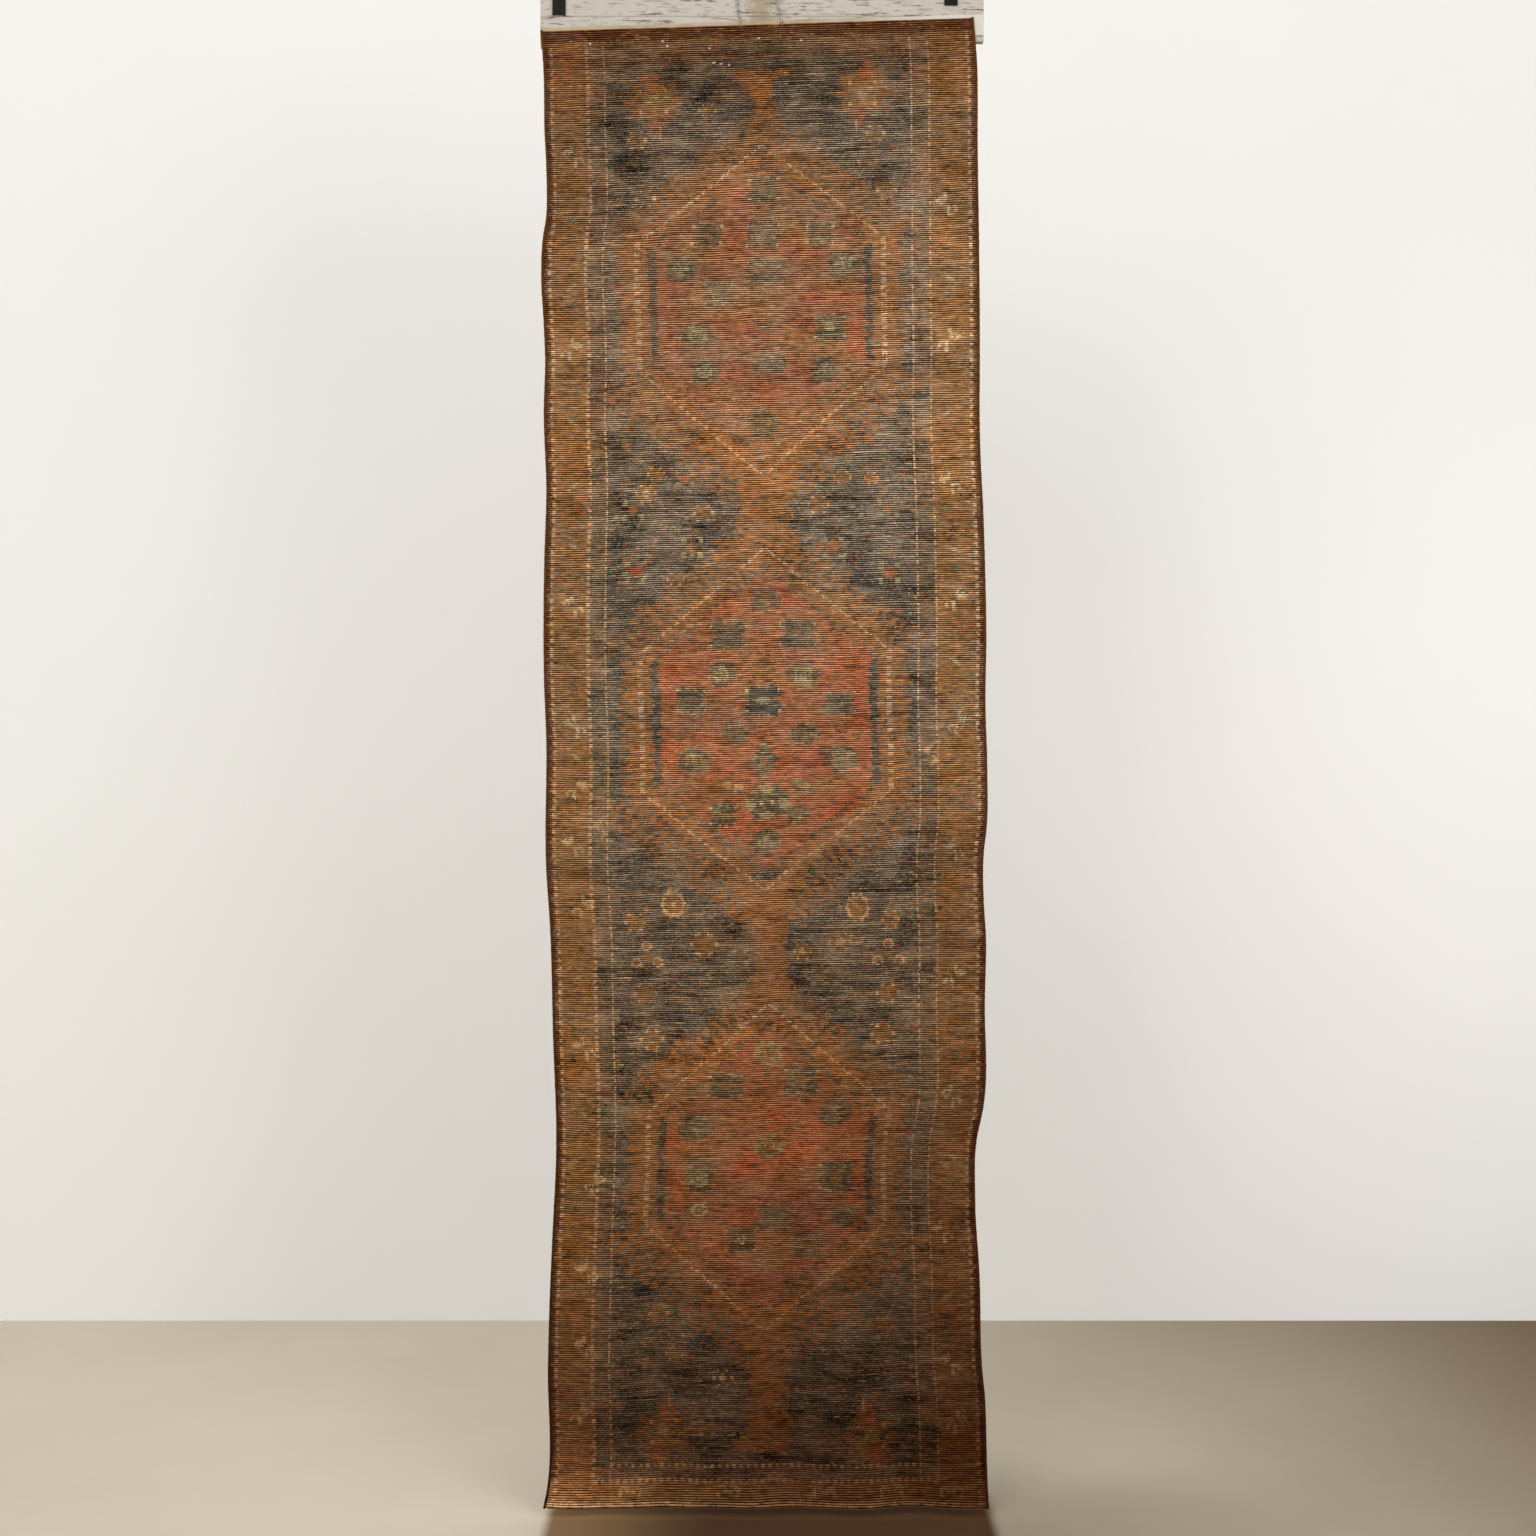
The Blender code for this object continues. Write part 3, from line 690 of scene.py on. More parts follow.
def paint_medallion(chart, medallion, uneven):
    """The camel band with its teeth, the madder ground and the dark columns at its sides."""
    out, along, upright = band_distance(chart, medallion)
    phase = np.mod((along + 0.15 * uneven) / TOOTH_PITCH_CM, 1)
    upper = chart.row < (medallion.apex + medallion.foot) / 2
    reach = np.where(upper, TOOTH_REACH_CM[0], TOOTH_REACH_CM[1])
    reach = np.where(upright, SIDE_TOOTH_REACH_CM, reach) + 0.7 * uneven
    shade = np.where(upper, TOOTH_SHADE_CM[0], TOOTH_SHADE_CM[1])
    shade = np.where(upright, SIDE_TOOTH_REACH_CM - 0.8, shade) + 0.9 * uneven
    chart.paint((out < shade) & (out > 0) & upright, BROWN)
    band = np.where(upright, BAND_OUT_CM, SLANT_BAND_OUT_CM)
    chart.paint((out < reach) & (out > band - 0.4) & (phase < 0.54), ORANGE)
    chart.paint((out < band + 0.3 * uneven) & (out > -BAND_IN_CM), ORANGE)
    gap = ~upright & (out > band) & (out < 4.5) & (phase >= 0.54)
    chart.paint(gap, BROWN)
    chart.paint((out < -BAND_IN_CM + 0.25 * uneven), MADDER)
    column = upright & (np.abs(out + COLUMN_IN_CM + 0.3) < COLUMN_WIDE_CM / 2)
    chart.paint(column & (chart.row > medallion.shoulder) & (chart.row < medallion.waist), TEAL)
    slant_line = ~upright & (np.abs(out + COLUMN_IN_CM) < 0.5) & (np.mod(along / 2.4, 1) < 0.6)
    chart.paint(slant_line & (out < 0), OLIVE)


def paint_ivory_line(chart, medallion):
    out, along, upright = band_distance(chart, medallion)
    half = np.where(upright, 0.46, 0.32)
    share = np.where(upright, 0.58, 0.70)
    dashes = (np.abs(out) < half) & (np.mod(along / DASH_PITCH_CM, 1) < share)
    chart.paint(dashes, SAND)


def paint_pole(chart, pole, uneven):
    """A camel pole that joins the medallions along the middle."""
    middle = (pole.start + pole.end) / 2
    spread = np.abs(chart.row - middle) / ((pole.end - pole.start) / 2)
    half = pole.half + pole.fan * np.clip(spread, 0, 1) ** 3 + 0.8 * uneven
    x = np.abs(chart.knot) * KNOT_CM
    rows = (chart.row > pole.start) & (chart.row < pole.end)
    chart.paint(rows & (x < half), ORANGE)


def paint_corner(chart, corner):
    """A stepped star with red points and a speckled heart."""
    x, y = chart.about(corner.knot, corner.row)
    if not corner.points_down:
        y = -y
    side = np.sign(corner.knot)
    chart.paint(petal_round(x, y, 15.0, 11.5, 8, 0.20), ORANGE)
    chart.paint(octagon(x, y, 9.0, 7.6), GOLD)
    chart.paint(diamond(x - side * 1.4, y + 5.4, 5.4, 6.0), MADDER)
    chart.paint(diamond(x + side * 0.9, y - 5.6, 5.0, 6.4), MADDER)
    for way in (-1, 1):
        chart.paint(octagon(x - way * 3.4, y - 0.2, 2.4, 2.6), OLIVE)
    chart.paint(diamond(x, y, 3.4, 3.2), SAGE)
    chart.paint(four_spots(x, y, 3.2, 2.6, 0.36), SAND)
    chart.paint((np.abs(x + side * 1.6) < 0.3) & (y > 6.4) & (y < 9.0), SAND)


def paint_hook(chart, knot, row, turn, dye):
    """One small hook: an arch with one long leg."""
    x, y = chart.about(knot, row)
    x = x * turn
    arch = (np.abs(np.hypot(x, y * 1.1) - 1.0) < 0.42) & (y < 0.3)
    leg = (np.abs(x + 0.9) < 0.42) & (y > -0.4) & (y < 1.5)
    chart.paint(arch | leg, dye)


def paint_bud(chart, knot, row, turn, dye):
    """The bud that faces a hook: a small diamond with a tick."""
    x, y = chart.about(knot, row)
    x = x * turn
    tick = (np.abs(x - 0.7) < 0.36) & (y > -1.8) & (y < 0.0)
    chart.paint(diamond(x + 0.3, y, 3.4, 1.9) | tick, dye)


def paint_border_figures(chart):
    """Hooked pairs and slips of the main border, and the figures of the guard stripes."""
    for pair in HOOK_PAIRS:
        paint_bud(chart, pair.knot - 2.8 * pair.turn, pair.row - 2.2, pair.turn, IVORY)
        paint_hook(chart, pair.knot + 2.8 * pair.turn, pair.row + 2.2, pair.turn, IVORY)
    for slip in SLIPS:
        x, y = chart.about(slip.knot, slip.row)
        bar = (np.abs(y - slip.turn * x * 0.7) < 0.5) & (np.abs(x) < 1.4)
        chart.paint(bar & (np.abs(chart.knot) < BORDER_END), SAGE)
        x, y = chart.about(slip.knot, slip.row + 9)
        chart.paint(diamond(x, y, 2.6, 2.2), BROWN)
    for knot in FOOT_HOOKS:
        middle = (FOOT_OUTER_ROW + FOOT_EDGE_ROW) / 2
        paint_hook(chart, knot - 3, middle, 1, IVORY)
        paint_hook(chart, knot + 4, middle, -1, IVORY)
    for figure in GUARD_FIGURES:
        x, y = chart.about(figure.knot, figure.row)
        curve = (np.abs(x - 1.1 * np.sin(y * 1.4)) < 0.5) & (np.abs(y) < 2.6)
        chart.paint(curve, figure.dye)


def draw_chart(rng):
    """The whole design of the rug, knot by knot."""
    chart = Chart()
    uneven = soft_noise(rng, 4, 5)
    paint_ground(chart)
    for medallion in MEDALLIONS:
        paint_medallion(chart, medallion, uneven)
    for pole in POLES:
        paint_pole(chart, pole, uneven)
    for medallion in MEDALLIONS:
        out = band_distance(chart, medallion)[0]
        chart.paint((out < -BAND_IN_CM - 0.2) & (chart.ground == ORANGE), MADDER)
        paint_ivory_line(chart, medallion)
    for corner in CORNERS:
        paint_corner(chart, corner)
    for figure in [*FLOWERS, *ROSETTES]:
        paint_figure(chart, figure)
    paint_border_figures(chart)
    paint_lines(chart)
    return chart


def soften(values, rows, knots):
    """Blur a grid of colours a little, by the given size in rows and knots."""
    pad, reach = 8, np.arange(-6, 7)
    wide = np.pad(values, ((pad, pad), (pad, pad), (0, 0)), mode="edge")
    for axis, size in ((0, rows), (1, knots)):
        weights = np.exp(-0.5 * (reach / size) ** 2)
        weights /= weights.sum()
        wide = sum(w * np.roll(wide, r, axis=axis) for w, r in zip(weights, reach))
    return wide[pad:-pad, pad:-pad]


def bare_streaks(rng):
    """Where the pile is worn down to dark wefts, from 0 to 1."""
    knot = np.arange(KNOTS) + 0.5 - KNOTS / 2
    row = np.arange(ROWS) + 0.5
    bare = np.zeros((ROWS, KNOTS))
    for streak in STREAKS:
        ends = 1 / (1 + np.exp(-(knot - streak.start) / 3)) / (1 + np.exp((knot - streak.end) / 3))
        bare += 0.8 * np.outer(np.exp(-((row - streak.row - 0.5) / 0.8) ** 2), ends)
    for patch in DARK_PATCHES:
        spot = np.outer(
            np.exp(-((row - patch.row) / (patch.tall * 0.6)) ** 2),
            np.exp(-((knot - patch.knot) / (patch.wide * 0.6)) ** 2),
        )
        bare += spot * np.clip(0.36 + 0.38 * soft_noise(rng, 0.9, 5), 0, 1)
    bare += 0.40 * np.clip(soft_noise(rng, 0.7, 12) - 1.4, 0, 1)
    return np.clip(bare, 0, 1)


# Stray knots of other dyes: the ground they lie in, their dye, and how often, in parts of a thousand.
FLECKS = rows_of("ground dye share", [
    (INDIGO, OLIVE, 110), (INDIGO, CAMEL, 30), (INDIGO, MADDER, 26), (INDIGO, SAGE, 26),
    (ORANGE, CAMEL, 260), (ORANGE, BROWN, 60), (ORANGE, OLIVE, 50), (ORANGE, GOLD, 60),
    (CAMEL, BROWN, 90), (CAMEL, MADDER, 50), (CAMEL, OLIVE, 70), (CAMEL, GOLD, 80),
    (MADDER, CAMEL, 130), (MADDER, ORANGE, 150),
    (MADDER, OLIVE, 30), (BROWN, CAMEL, 60), (BROWN, INDIGO, 90), (OLIVE, INDIGO, 150), (OLIVE, SAGE, 110),
    (OLIVE, CAMEL, 60), (SAGE, OLIVE, 80), (OXBLOOD, CAMEL, 60), (GOLD, CAMEL, 200), (TEAL, OLIVE, 150),
])


class Wool:
    """Colours of every knot, at its worn tip and at its root; the tips carry a painted highlight and the
    roots painted shade, besides their wear and the dark weft.
    """

    def __init__(self, dyes, rng):
        chart = draw_chart(rng)
        dye = self.strewn(chart, rng)
        pile = self.abrash(self.aged(dyes, chart, dye, rng), dye, rng)
        wear = np.array([DYE_WEAR_AND_ROOT_SHADE[k] for k in range(len(DYE_NAMES))])[dye]
        tips, roots = wear[..., :1], wear[..., 1:]
        weft = np.array(dyes.weft[:])
        dark_ground = np.isin(dye, (INDIGO, BROWN))
        bare = (bare_streaks(rng) * np.where(dark_ground, 1.0, BARE_ON_LIGHT))[..., None]
        streak = colour_noise(rng, 0.6, 12)
        dash = colour_noise(rng, 0.45, 3.0)
        blot = colour_noise(rng, 7, 12)
        each = (ROWS, KNOTS, 1)
        speck = rng.standard_normal(each)
        more = np.interp(np.arange(ROWS)[:, None], WORN_ROWS, WORN_MORE)[..., None]
        worn = np.clip(tips * more * (1.0 + 0.16 * streak + 0.24 * blot + 0.22 * speck), 0, MOST_WORN)
        tip = pile + (np.array(dyes.foundation[:]) - pile) * worn
        # Lightened tips: partly a painted highlight on the crests of the rows.
        tip = tip * (TIP_LIGHT + 0.18 * dash + 0.08 * streak)
        tip = tip * (1.0 + 0.09 * rng.standard_normal(each))
        tip = tip + (weft - tip) * BARE_TIP * bare
        breaks = rng.standard_normal(each)
        # The roots: the dark weft, and partly painted shade in the hollows between the rows.
        root = pile * roots * ROOT_TINT * (1.0 + 0.4 * dash + 0.25 * blot + 0.12 * breaks) + weft * 0.5
        root = root * np.clip(1.0 + 0.25 * colour_noise(rng, 0.6, 5), 0.3, 2.0)
        root = root * (1.0 - 0.5 * bare)
        # The fade carries painted shade and a painted highlight as well as the wool's own fading.
        fade_and_shade = self.fade_and_shade()
        self.tip = np.clip(tip * fade_and_shade, 0.002, 1.0)
        self.root = np.clip(root * fade_and_shade, 0.001, 1.0)

    @staticmethod
    def aged(dyes, chart, dye, rng):
        """The dyes as they have aged: the madder faded, and the whole design softened by dust."""
        row = np.arange(ROWS)[:, None]
        fine = (chart.fine >= 0)[..., None]
        pile = np.array([getattr(dyes, name)[:] for name in DYE_NAMES])[dye]
        kept = np.interp(row, KEPT_ROWS, KEPT_RED) + 0.20 * soft_noise(rng, 10, 26)
        kept += 0.25 * (np.abs(chart.knot) > 48)
        faded = (dye == MADDER)[..., None] * (1 - np.clip(kept, 0, 1))[..., None]
        pile = pile + (np.array(dyes.dusty[:]) - pile) * faded
        pile = np.where(fine, pile, 0.86 * pile + 0.14 * soften(pile, 1.3, 2.6))
        dust = np.interp(row, DUST_ROWS, DUST)[..., None]
        dust = np.where(fine | (dye == TEAL)[..., None], 0.25, 1.0) * dust
        return pile + (soften(pile, 2.6, 4.0) - pile) * dust

    @staticmethod
    def strewn(chart, rng):
        """The chart with ragged edges, stray knots of other dyes and the sharp pale dots."""
        rows, knots = np.indices((ROWS, KNOTS))
        stray = np.rint(0.62 * soft_noise(rng, 0.5, 2.5)).astype(int)
        lift = np.rint(0.34 * soft_noise(rng, 1.5, 2.0)).astype(int)
        ground = chart.ground[np.clip(rows + lift, 0, ROWS - 1), np.clip(knots + stray, 0, KNOTS - 1)]
        dye = ground.copy()
        for fleck in FLECKS:
            lengths = soft_noise(rng, 0.5, 3.0)
            limit = np.quantile(lengths, 1 - fleck.share / 1000)
            dye[(ground == fleck.ground) & (lengths > limit)] = fleck.dye
        kept = (chart.fine >= 0) & (rng.random((ROWS, KNOTS)) < 0.90)
        return np.where(kept, chart.fine, dye)

    @staticmethod
    def abrash(pile, dye, rng):
        """Bands of lighter and darker, yellower and redder yarn from different dye lots."""
        bands = colour_noise(rng, 9, 400)
        patches = colour_noise(rng, 16, 40)
        warmer = colour_noise(rng, 14, 300)
        tint = 1.0 + warmer * np.array([0.05, 0.0, -0.10])
        pile = pile * (1.0 + 0.06 * bands + 0.06 * patches) * tint
        field = np.isin(dye, (INDIGO, BROWN))[..., None]
        mauve = colour_noise(rng, 9, 16) * np.array([0.08, -0.02, -0.02])
        green = colour_noise(rng, 7, 14) * np.array([-0.07, 0.04, -0.02])
        pile = pile * (1.0 + field * (mauve + green + 0.34 * colour_noise(rng, 5, 14)))
        red = (dye == MADDER)[..., None]
        orange = colour_noise(rng, 10, 22) * np.array([-0.02, 0.13, 0.05])
        return pile * (1.0 + red * orange)

    @staticmethod
    def fade_and_shade():
        # Painted shade down each side from the fade table, with the wool's own fading, and a painted
        # highlight on the hem's left.
        row = np.arange(ROWS)
        rows = [fade_and_shade.row for fade_and_shade in FADES_AND_SHADE]
        left, right = (
            np.stack([np.interp(row, rows, [fade_and_shade[side][k] for fade_and_shade in FADES_AND_SHADE]) for k in range(3)], axis=-1)
            for side in (1, 2)
        )
        share = np.linspace(0, 1, KNOTS)[None, :, None]
        glow = np.clip((row - GLOW_START) / (ROWS - GLOW_START), 0, 1)[:, None, None]
        glow = 1.0 + GLOW * glow * np.exp(-((share / GLOW_REACH) ** 2))
        return WOOL_LIGHT * glow * (left[:, None] * (1 - share) + right[:, None] * share)


def place_object(name, data):
    """An object of a mesh, a light or a camera, put in the scene."""
    placed = bpy.data.objects.new(name, data)
    bpy.context.scene.collection.objects.link(placed)
    return placed


def mesh_of(name, points, edges, faces, material=None):
    """A small mesh from lists."""
    mesh = bpy.data.meshes.new(name)
    mesh.from_pydata(points, edges, faces)
    if material:
        mesh.materials.append(material)
    return mesh


def add_mesh(name, points, faces, material):
    """A mesh object from large arrays of points and faces, with one material."""
    mesh = bpy.data.meshes.new(name)
    sides = faces.shape[1]
    mesh.vertices.add(len(points))
    mesh.vertices.foreach_set("co", points.astype(np.float32).ravel())
    mesh.loops.add(faces.size)
    mesh.loops.foreach_set("vertex_index", faces.astype(np.int32).ravel())
    mesh.polygons.add(len(faces))
    mesh.polygons.foreach_set("loop_start", np.arange(0, faces.size, sides, dtype=np.int32))
    shade_smooth(mesh)
    mesh.update(calc_edges=True)
    mesh.validate()
    mesh.materials.append(material)
    return place_object(name, mesh)


def shade_smooth(mesh, smooth=True):
    mesh.polygons.foreach_set("use_smooth", np.full(len(mesh.polygons), smooth))


def hand_over(piece, node=None):
    """Say what carries a piece and which solid it replaces."""
    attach(piece, "root")
    if node:
        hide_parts(node)


def grid_faces(down, across):
    """Faces of a grid of points, turned towards the viewer, and in rows from the top."""
    row, column = np.meshgrid(np.arange(down - 1), np.arange(across - 1), indexing="ij")
    corner = (row * across + column).ravel()
    return np.stack([corner, corner + across, corner + across + 1, corner + 1], axis=1)


def set_corner_colours(mesh, name, face_colours):
    """Give every corner of a face that face's colour."""
    count = len(mesh.loops) // len(mesh.polygons)
    rgba = np.concatenate([face_colours, np.ones((len(face_colours), 1))], axis=1)
    layer = mesh.color_attributes.new(name, "BYTE_COLOR", "CORNER")
    layer.data.foreach_set("color", np.repeat(rgba, count, axis=0).astype(np.float32).ravel())


def set_cloth_uv(mesh, uv):
    """Cloth coordinates, from 0 to 1 across and down the whole rug, one for each point."""
    layer = mesh.uv_layers.new(name="cloth")
    index = np.empty(len(mesh.loops), np.int32)
    mesh.loops.foreach_get("vertex_index", index)
    layer.data.foreach_set("uv", uv[index].astype(np.float32).ravel())


def add_node(tree, kind, inputs=None, **settings):
    """A node with its settings, and with each input set or linked."""
    node = tree.nodes.new(kind)
    for name, value in settings.items():
        setattr(node, name, value)
    for name, value in (inputs or {}).items():
        if isinstance(value, bpy.types.NodeSocket):
            tree.links.new(value, node.inputs[name])
        else:
            node.inputs[name].default_value = value
    return node


def new_group(name, kind, inputs, outputs):
    """A node group: its inputs give (type, default) and its outputs a type. Gives both its sides."""
    tree = bpy.data.node_groups.new(name, kind)
    for label, (socket, default) in inputs.items():
        made = tree.interface.new_socket(label, in_out="INPUT", socket_type="NodeSocket" + socket)
        if default is not None:
            made.default_value = default
    for label, socket in outputs.items():
        tree.interface.new_socket(label, in_out="OUTPUT", socket_type="NodeSocket" + socket)
    return tree, tree.nodes.new("NodeGroupInput").outputs, tree.nodes.new("NodeGroupOutput").inputs


def maths(tree, operation, *values):
    """One operation on values, in order."""
    return add_node(tree, "ShaderNodeMath", dict(enumerate(values)), operation=operation).outputs[0]


def product(tree, *values):
    """Values multiplied together."""
    result = values[0]
    for value in values[1:]:
        result = maths(tree, "MULTIPLY", result, value)
    return result


def mapped(tree, value, start, end, low=0.0, high=1.0, kind="LINEAR"):
    """A value's range moved to another range, and kept inside it."""
    return add_node(tree, "ShaderNodeMapRange", {
        "Value": value, "From Min": start, "From Max": end, "To Min": low, "To Max": high,
    }, interpolation_type=kind).outputs[0]


def noise(tree, place, scale, detail, roughness=0.5, distortion=0.0):
    """Noise from 0 to 1 in the given coordinates."""
    return add_node(tree, "ShaderNodeTexNoise", {
        "Vector": place, "Scale": scale, "Detail": detail, "Roughness": roughness,
        "Distortion": distortion,
    }).outputs["Fac"]


def axes_of(tree, vector):
    """The X, Y and Z of a vector."""
    return add_node(tree, "ShaderNodeSeparateXYZ", {0: vector}).outputs


def loops_along(tree, value):
    """Rounds side by side, one for each half turn of the value."""
    return maths(tree, "ABSOLUTE", maths(tree, "SINE", value))


def fibre_group():
    """Fine fibre: a height for a bump and a tone that lightens and darkens, at a given scale."""
    name = "fibre"
    if name in bpy.data.node_groups:
        return bpy.data.node_groups[name]
    tree, given, made = new_group(
        name, "ShaderNodeTree",
        {"Vector": ("Vector", None), "Scale": ("Float", 900.0), "Contrast": ("Float", 0.3)},
        {"Height": "Float", "Tone": "Float"},
    )
    fine = noise(tree, given["Vector"], given["Scale"], 3.0, 0.65)
    tree.links.new(fine, made["Height"])
    centred = maths(tree, "ADD", fine, -0.5)
    tree.links.new(maths(tree, "MULTIPLY_ADD", centred, given["Contrast"], 1.0), made["Tone"])
    return tree


def weave_group():
    """Plain weave: threads over and under, from the object's coordinates."""
    name = "plain_weave"
    if name in bpy.data.node_groups:
        return bpy.data.node_groups[name]
    tree, given, made = new_group(
        name, "ShaderNodeTree",
        {"Vector": ("Vector", None), "Across": ("Float", 700.0), "Down": ("Float", 900.0)},
        {"Height": "Float", "Gap": "Float"},
    )
    parts = axes_of(tree, given["Vector"])
    across = maths(tree, "SINE", maths(tree, "MULTIPLY", parts["X"], given["Across"]))
    down = maths(tree, "SINE", maths(tree, "MULTIPLY", parts["Z"], given["Down"]))
    height = maths(tree, "MULTIPLY_ADD", maths(tree, "MULTIPLY", across, down), 0.5, 0.5)
    tree.links.new(height, made["Height"])
    # The threads are painted darker where they dip under: painted shade in the weave's hollows.
    tree.links.new(mapped(tree, height, 0.0, 0.45, 0.72, 1.0), made["Gap"])
    return tree


def new_material(name, roughness, metallic=0.0, sheen=0.0, specular=0.5):
    """A material with only its shader, and that shader."""
    material = bpy.data.materials.new(name)
    material.use_nodes = True
    shader = material.node_tree.nodes["Principled BSDF"]
    shader.inputs["Roughness"].default_value = roughness
    shader.inputs["Metallic"].default_value = metallic
    shader.inputs["Sheen Weight"].default_value = sheen
    shader.inputs["Specular IOR Level"].default_value = specular
    return material, material.node_tree, shader


def scaled_colour(tree, colour, *factors):
    """A colour times each factor."""
    for factor in factors:
        scaled = add_node(tree, "ShaderNodeVectorMath", {0: colour, 1: factor}, operation="MULTIPLY")
        colour = scaled.outputs[0]
    return colour


def mixed_colour(tree, factor, first, second):
    """Two colours mixed by a factor."""
    mix = add_node(tree, "ShaderNodeMix", {"Factor": factor}, data_type="RGBA")
    for socket, value in ((mix.inputs[6], first), (mix.inputs[7], second)):
        if isinstance(value, bpy.types.NodeSocket):
            tree.links.new(value, socket)
        else:
            socket.default_value = (*value, 1.0)
    return mix.outputs[2]


def object_coordinates(tree, scale=(1.0, 1.0, 1.0)):
    place = add_node(tree, "ShaderNodeTexCoord").outputs["Object"]
    return add_node(tree, "ShaderNodeMapping", {"Vector": place, "Scale": scale}).outputs["Vector"]


def fibres(tree, scale, contrast):
    """Fine fibre in the object's coordinates, with its Height and its Tone."""
    inputs = {"Vector": object_coordinates(tree), "Scale": scale, "Contrast": contrast}
    return add_node(tree, "ShaderNodeGroup", inputs, node_tree=fibre_group()).outputs


def finish_shader(tree, shader, colour, strength, distance, height):
    """Give the shader its colour and its relief."""
    tree.links.new(colour, shader.inputs["Base Color"])
    bump = add_node(tree, "ShaderNodeBump", {
        "Strength": strength, "Distance": distance, "Height": height,
    })
    tree.links.new(bump.outputs["Normal"], shader.inputs["Normal"])


def wool_pile_material(name):
    """Worn knotted wool, its colour from the knots and its fibre from noise."""
    material, tree, shader = new_material(name, 0.95, specular=0.0)
    knots = add_node(tree, "ShaderNodeVertexColor", layer_name="dye")
    fibre = fibres(tree, 620.0, 0.75)
    streaks = noise(tree, object_coordinates(tree, (24.0, 24.0, 520.0)), 1.0, 3.0, 0.6)
    streak_tone = mapped(tree, streaks, 0.3, 0.7, 0.86, 1.14)
    # Painted shade in the gaps between the knots of a row.
    cloth = add_node(tree, "ShaderNodeUVMap", uv_map="cloth")
    turns = maths(tree, "MULTIPLY", axes_of(tree, cloth.outputs[0])["X"], KNOTS * math.pi)
    knot_gap_shade = mapped(tree, loops_along(tree, turns), 0.0, 0.6, 0.92, 1.03)
    toned = scaled_colour(tree, knots.outputs["Color"], fibre["Tone"], streak_tone, knot_gap_shade)
    finish_shader(tree, shader, toned, 0.8, 0.0006, fibre["Height"])
    return material


def back_material(name):
    """The knots' backs: small loops in level rows with thin wefts between."""
    material, tree, shader = new_material(name, 0.92, specular=0.0)
    knots = add_node(tree, "ShaderNodeVertexColor", layer_name="dye")
    cloth = add_node(tree, "ShaderNodeUVMap", uv_map="cloth")
    turns = axes_of(tree, scaled_colour(tree, cloth.outputs[0], (KNOTS * math.pi, ROWS * math.pi, 0.0)))
    loops = maths(tree, "MULTIPLY", loops_along(tree, turns["X"]), loops_along(tree, turns["Y"]))
    fibre = fibres(tree, 700.0, 0.6)
    # Darker in the grooves between the loops: the thin wefts there, and partly painted shade.
    groove_shade = mapped(tree, loops, 0.0, 0.5, 0.45, 1.1)
    toned = scaled_colour(tree, knots.outputs["Color"], groove_shade, fibre["Tone"])
    finish_shader(tree, shader, toned, 0.8, 0.0008, loops)
    return material


def yarn_material(name, high, low):
    """Spun yarn that darkens down the rug, each stitch with a tone of its own."""
    material, tree, shader = new_material(name, 0.95, specular=0.0)
    down = mapped(tree, axes_of(tree, object_coordinates(tree))["Z"], -3.5, -1.6)
    tone = add_node(tree, "ShaderNodeAttribute", attribute_name="tone")
    fibre = fibres(tree, 1500.0, 0.9)
    ground = mixed_colour(tree, down, low, high)
    toned = scaled_colour(tree, ground, tone.outputs["Fac"], fibre["Tone"])
    finish_shader(tree, shader, toned, 0.7, 0.0004, fibre["Height"])
    return material


def tape_material(name, colour, end_colour):
    """Plain woven cotton webbing with old yellow stains, paler towards its right end."""
    material, tree, shader = new_material(name, 0.9, sheen=0.02, specular=0.2)
    place = object_coordinates(tree)
    threads = {"Vector": place, "Across": 5200.0, "Down": 4200.0}
    weave = add_node(tree, "ShaderNodeGroup", threads, node_tree=weave_group()).outputs
    stained = mapped(tree, noise(tree, place, 14.0, 4.0), 0.45, 0.7)
    old = tuple(value * share for value, share in zip(colour, (0.82, 0.72, 0.58)))
    ground = mixed_colour(tree, stained, colour, old)
    ground = mixed_colour(tree, place_ramps(tree)("X", 0.1, 0.5), ground, end_colour)
    # Painted shade in the weave's hollows, from the weave's gap factor.
    finish_shader(
        tree, shader, scaled_colour(tree, ground, weave["Gap"]), 0.6, 0.0003, weave["Height"]
    )
    return material


def whitewash_material(name, paint, wood, stain):
    """Thin white paint, worn in streaks along the grain to grey-brown wood."""
    material, tree, shader = new_material(name, 0.85)
    grain = noise(tree, object_coordinates(tree, (6.0, 60.0, 260.0)), 1.0, 6.0, 0.62, 0.6)
    flakes = noise(tree, object_coordinates(tree, (34.0, 80.0, 170.0)), 1.0, 5.0, 0.7)
    worn = mapped(tree, maths(tree, "ADD", grain, flakes), 1.05, 1.20)
    fine = mapped(tree, grain, 0.2, 0.8, 0.90, 1.06)
    place = object_coordinates(tree)
    blots = noise(tree, place, 26.0, 5.0, 0.65)
    ragged = maths(tree, "MULTIPLY_ADD", blots, 0.16, axes_of(tree, place)["X"])
    off = maths(tree, "ABSOLUTE", maths(tree, "ADD", ragged, -0.078))
    spot = mapped(tree, off, 0.016, 0.062, 0.80, 0.0, "SMOOTHSTEP")
    painted = scaled_colour(tree, mixed_colour(tree, spot, paint, stain), fine)
    ground = mixed_colour(tree, worn, painted, scaled_colour(tree, wood, fine))
    height = maths(tree, "MULTIPLY_ADD", worn, -0.6, grain)
    finish_shader(tree, shader, ground, 0.6, 0.0008, height)
    return material


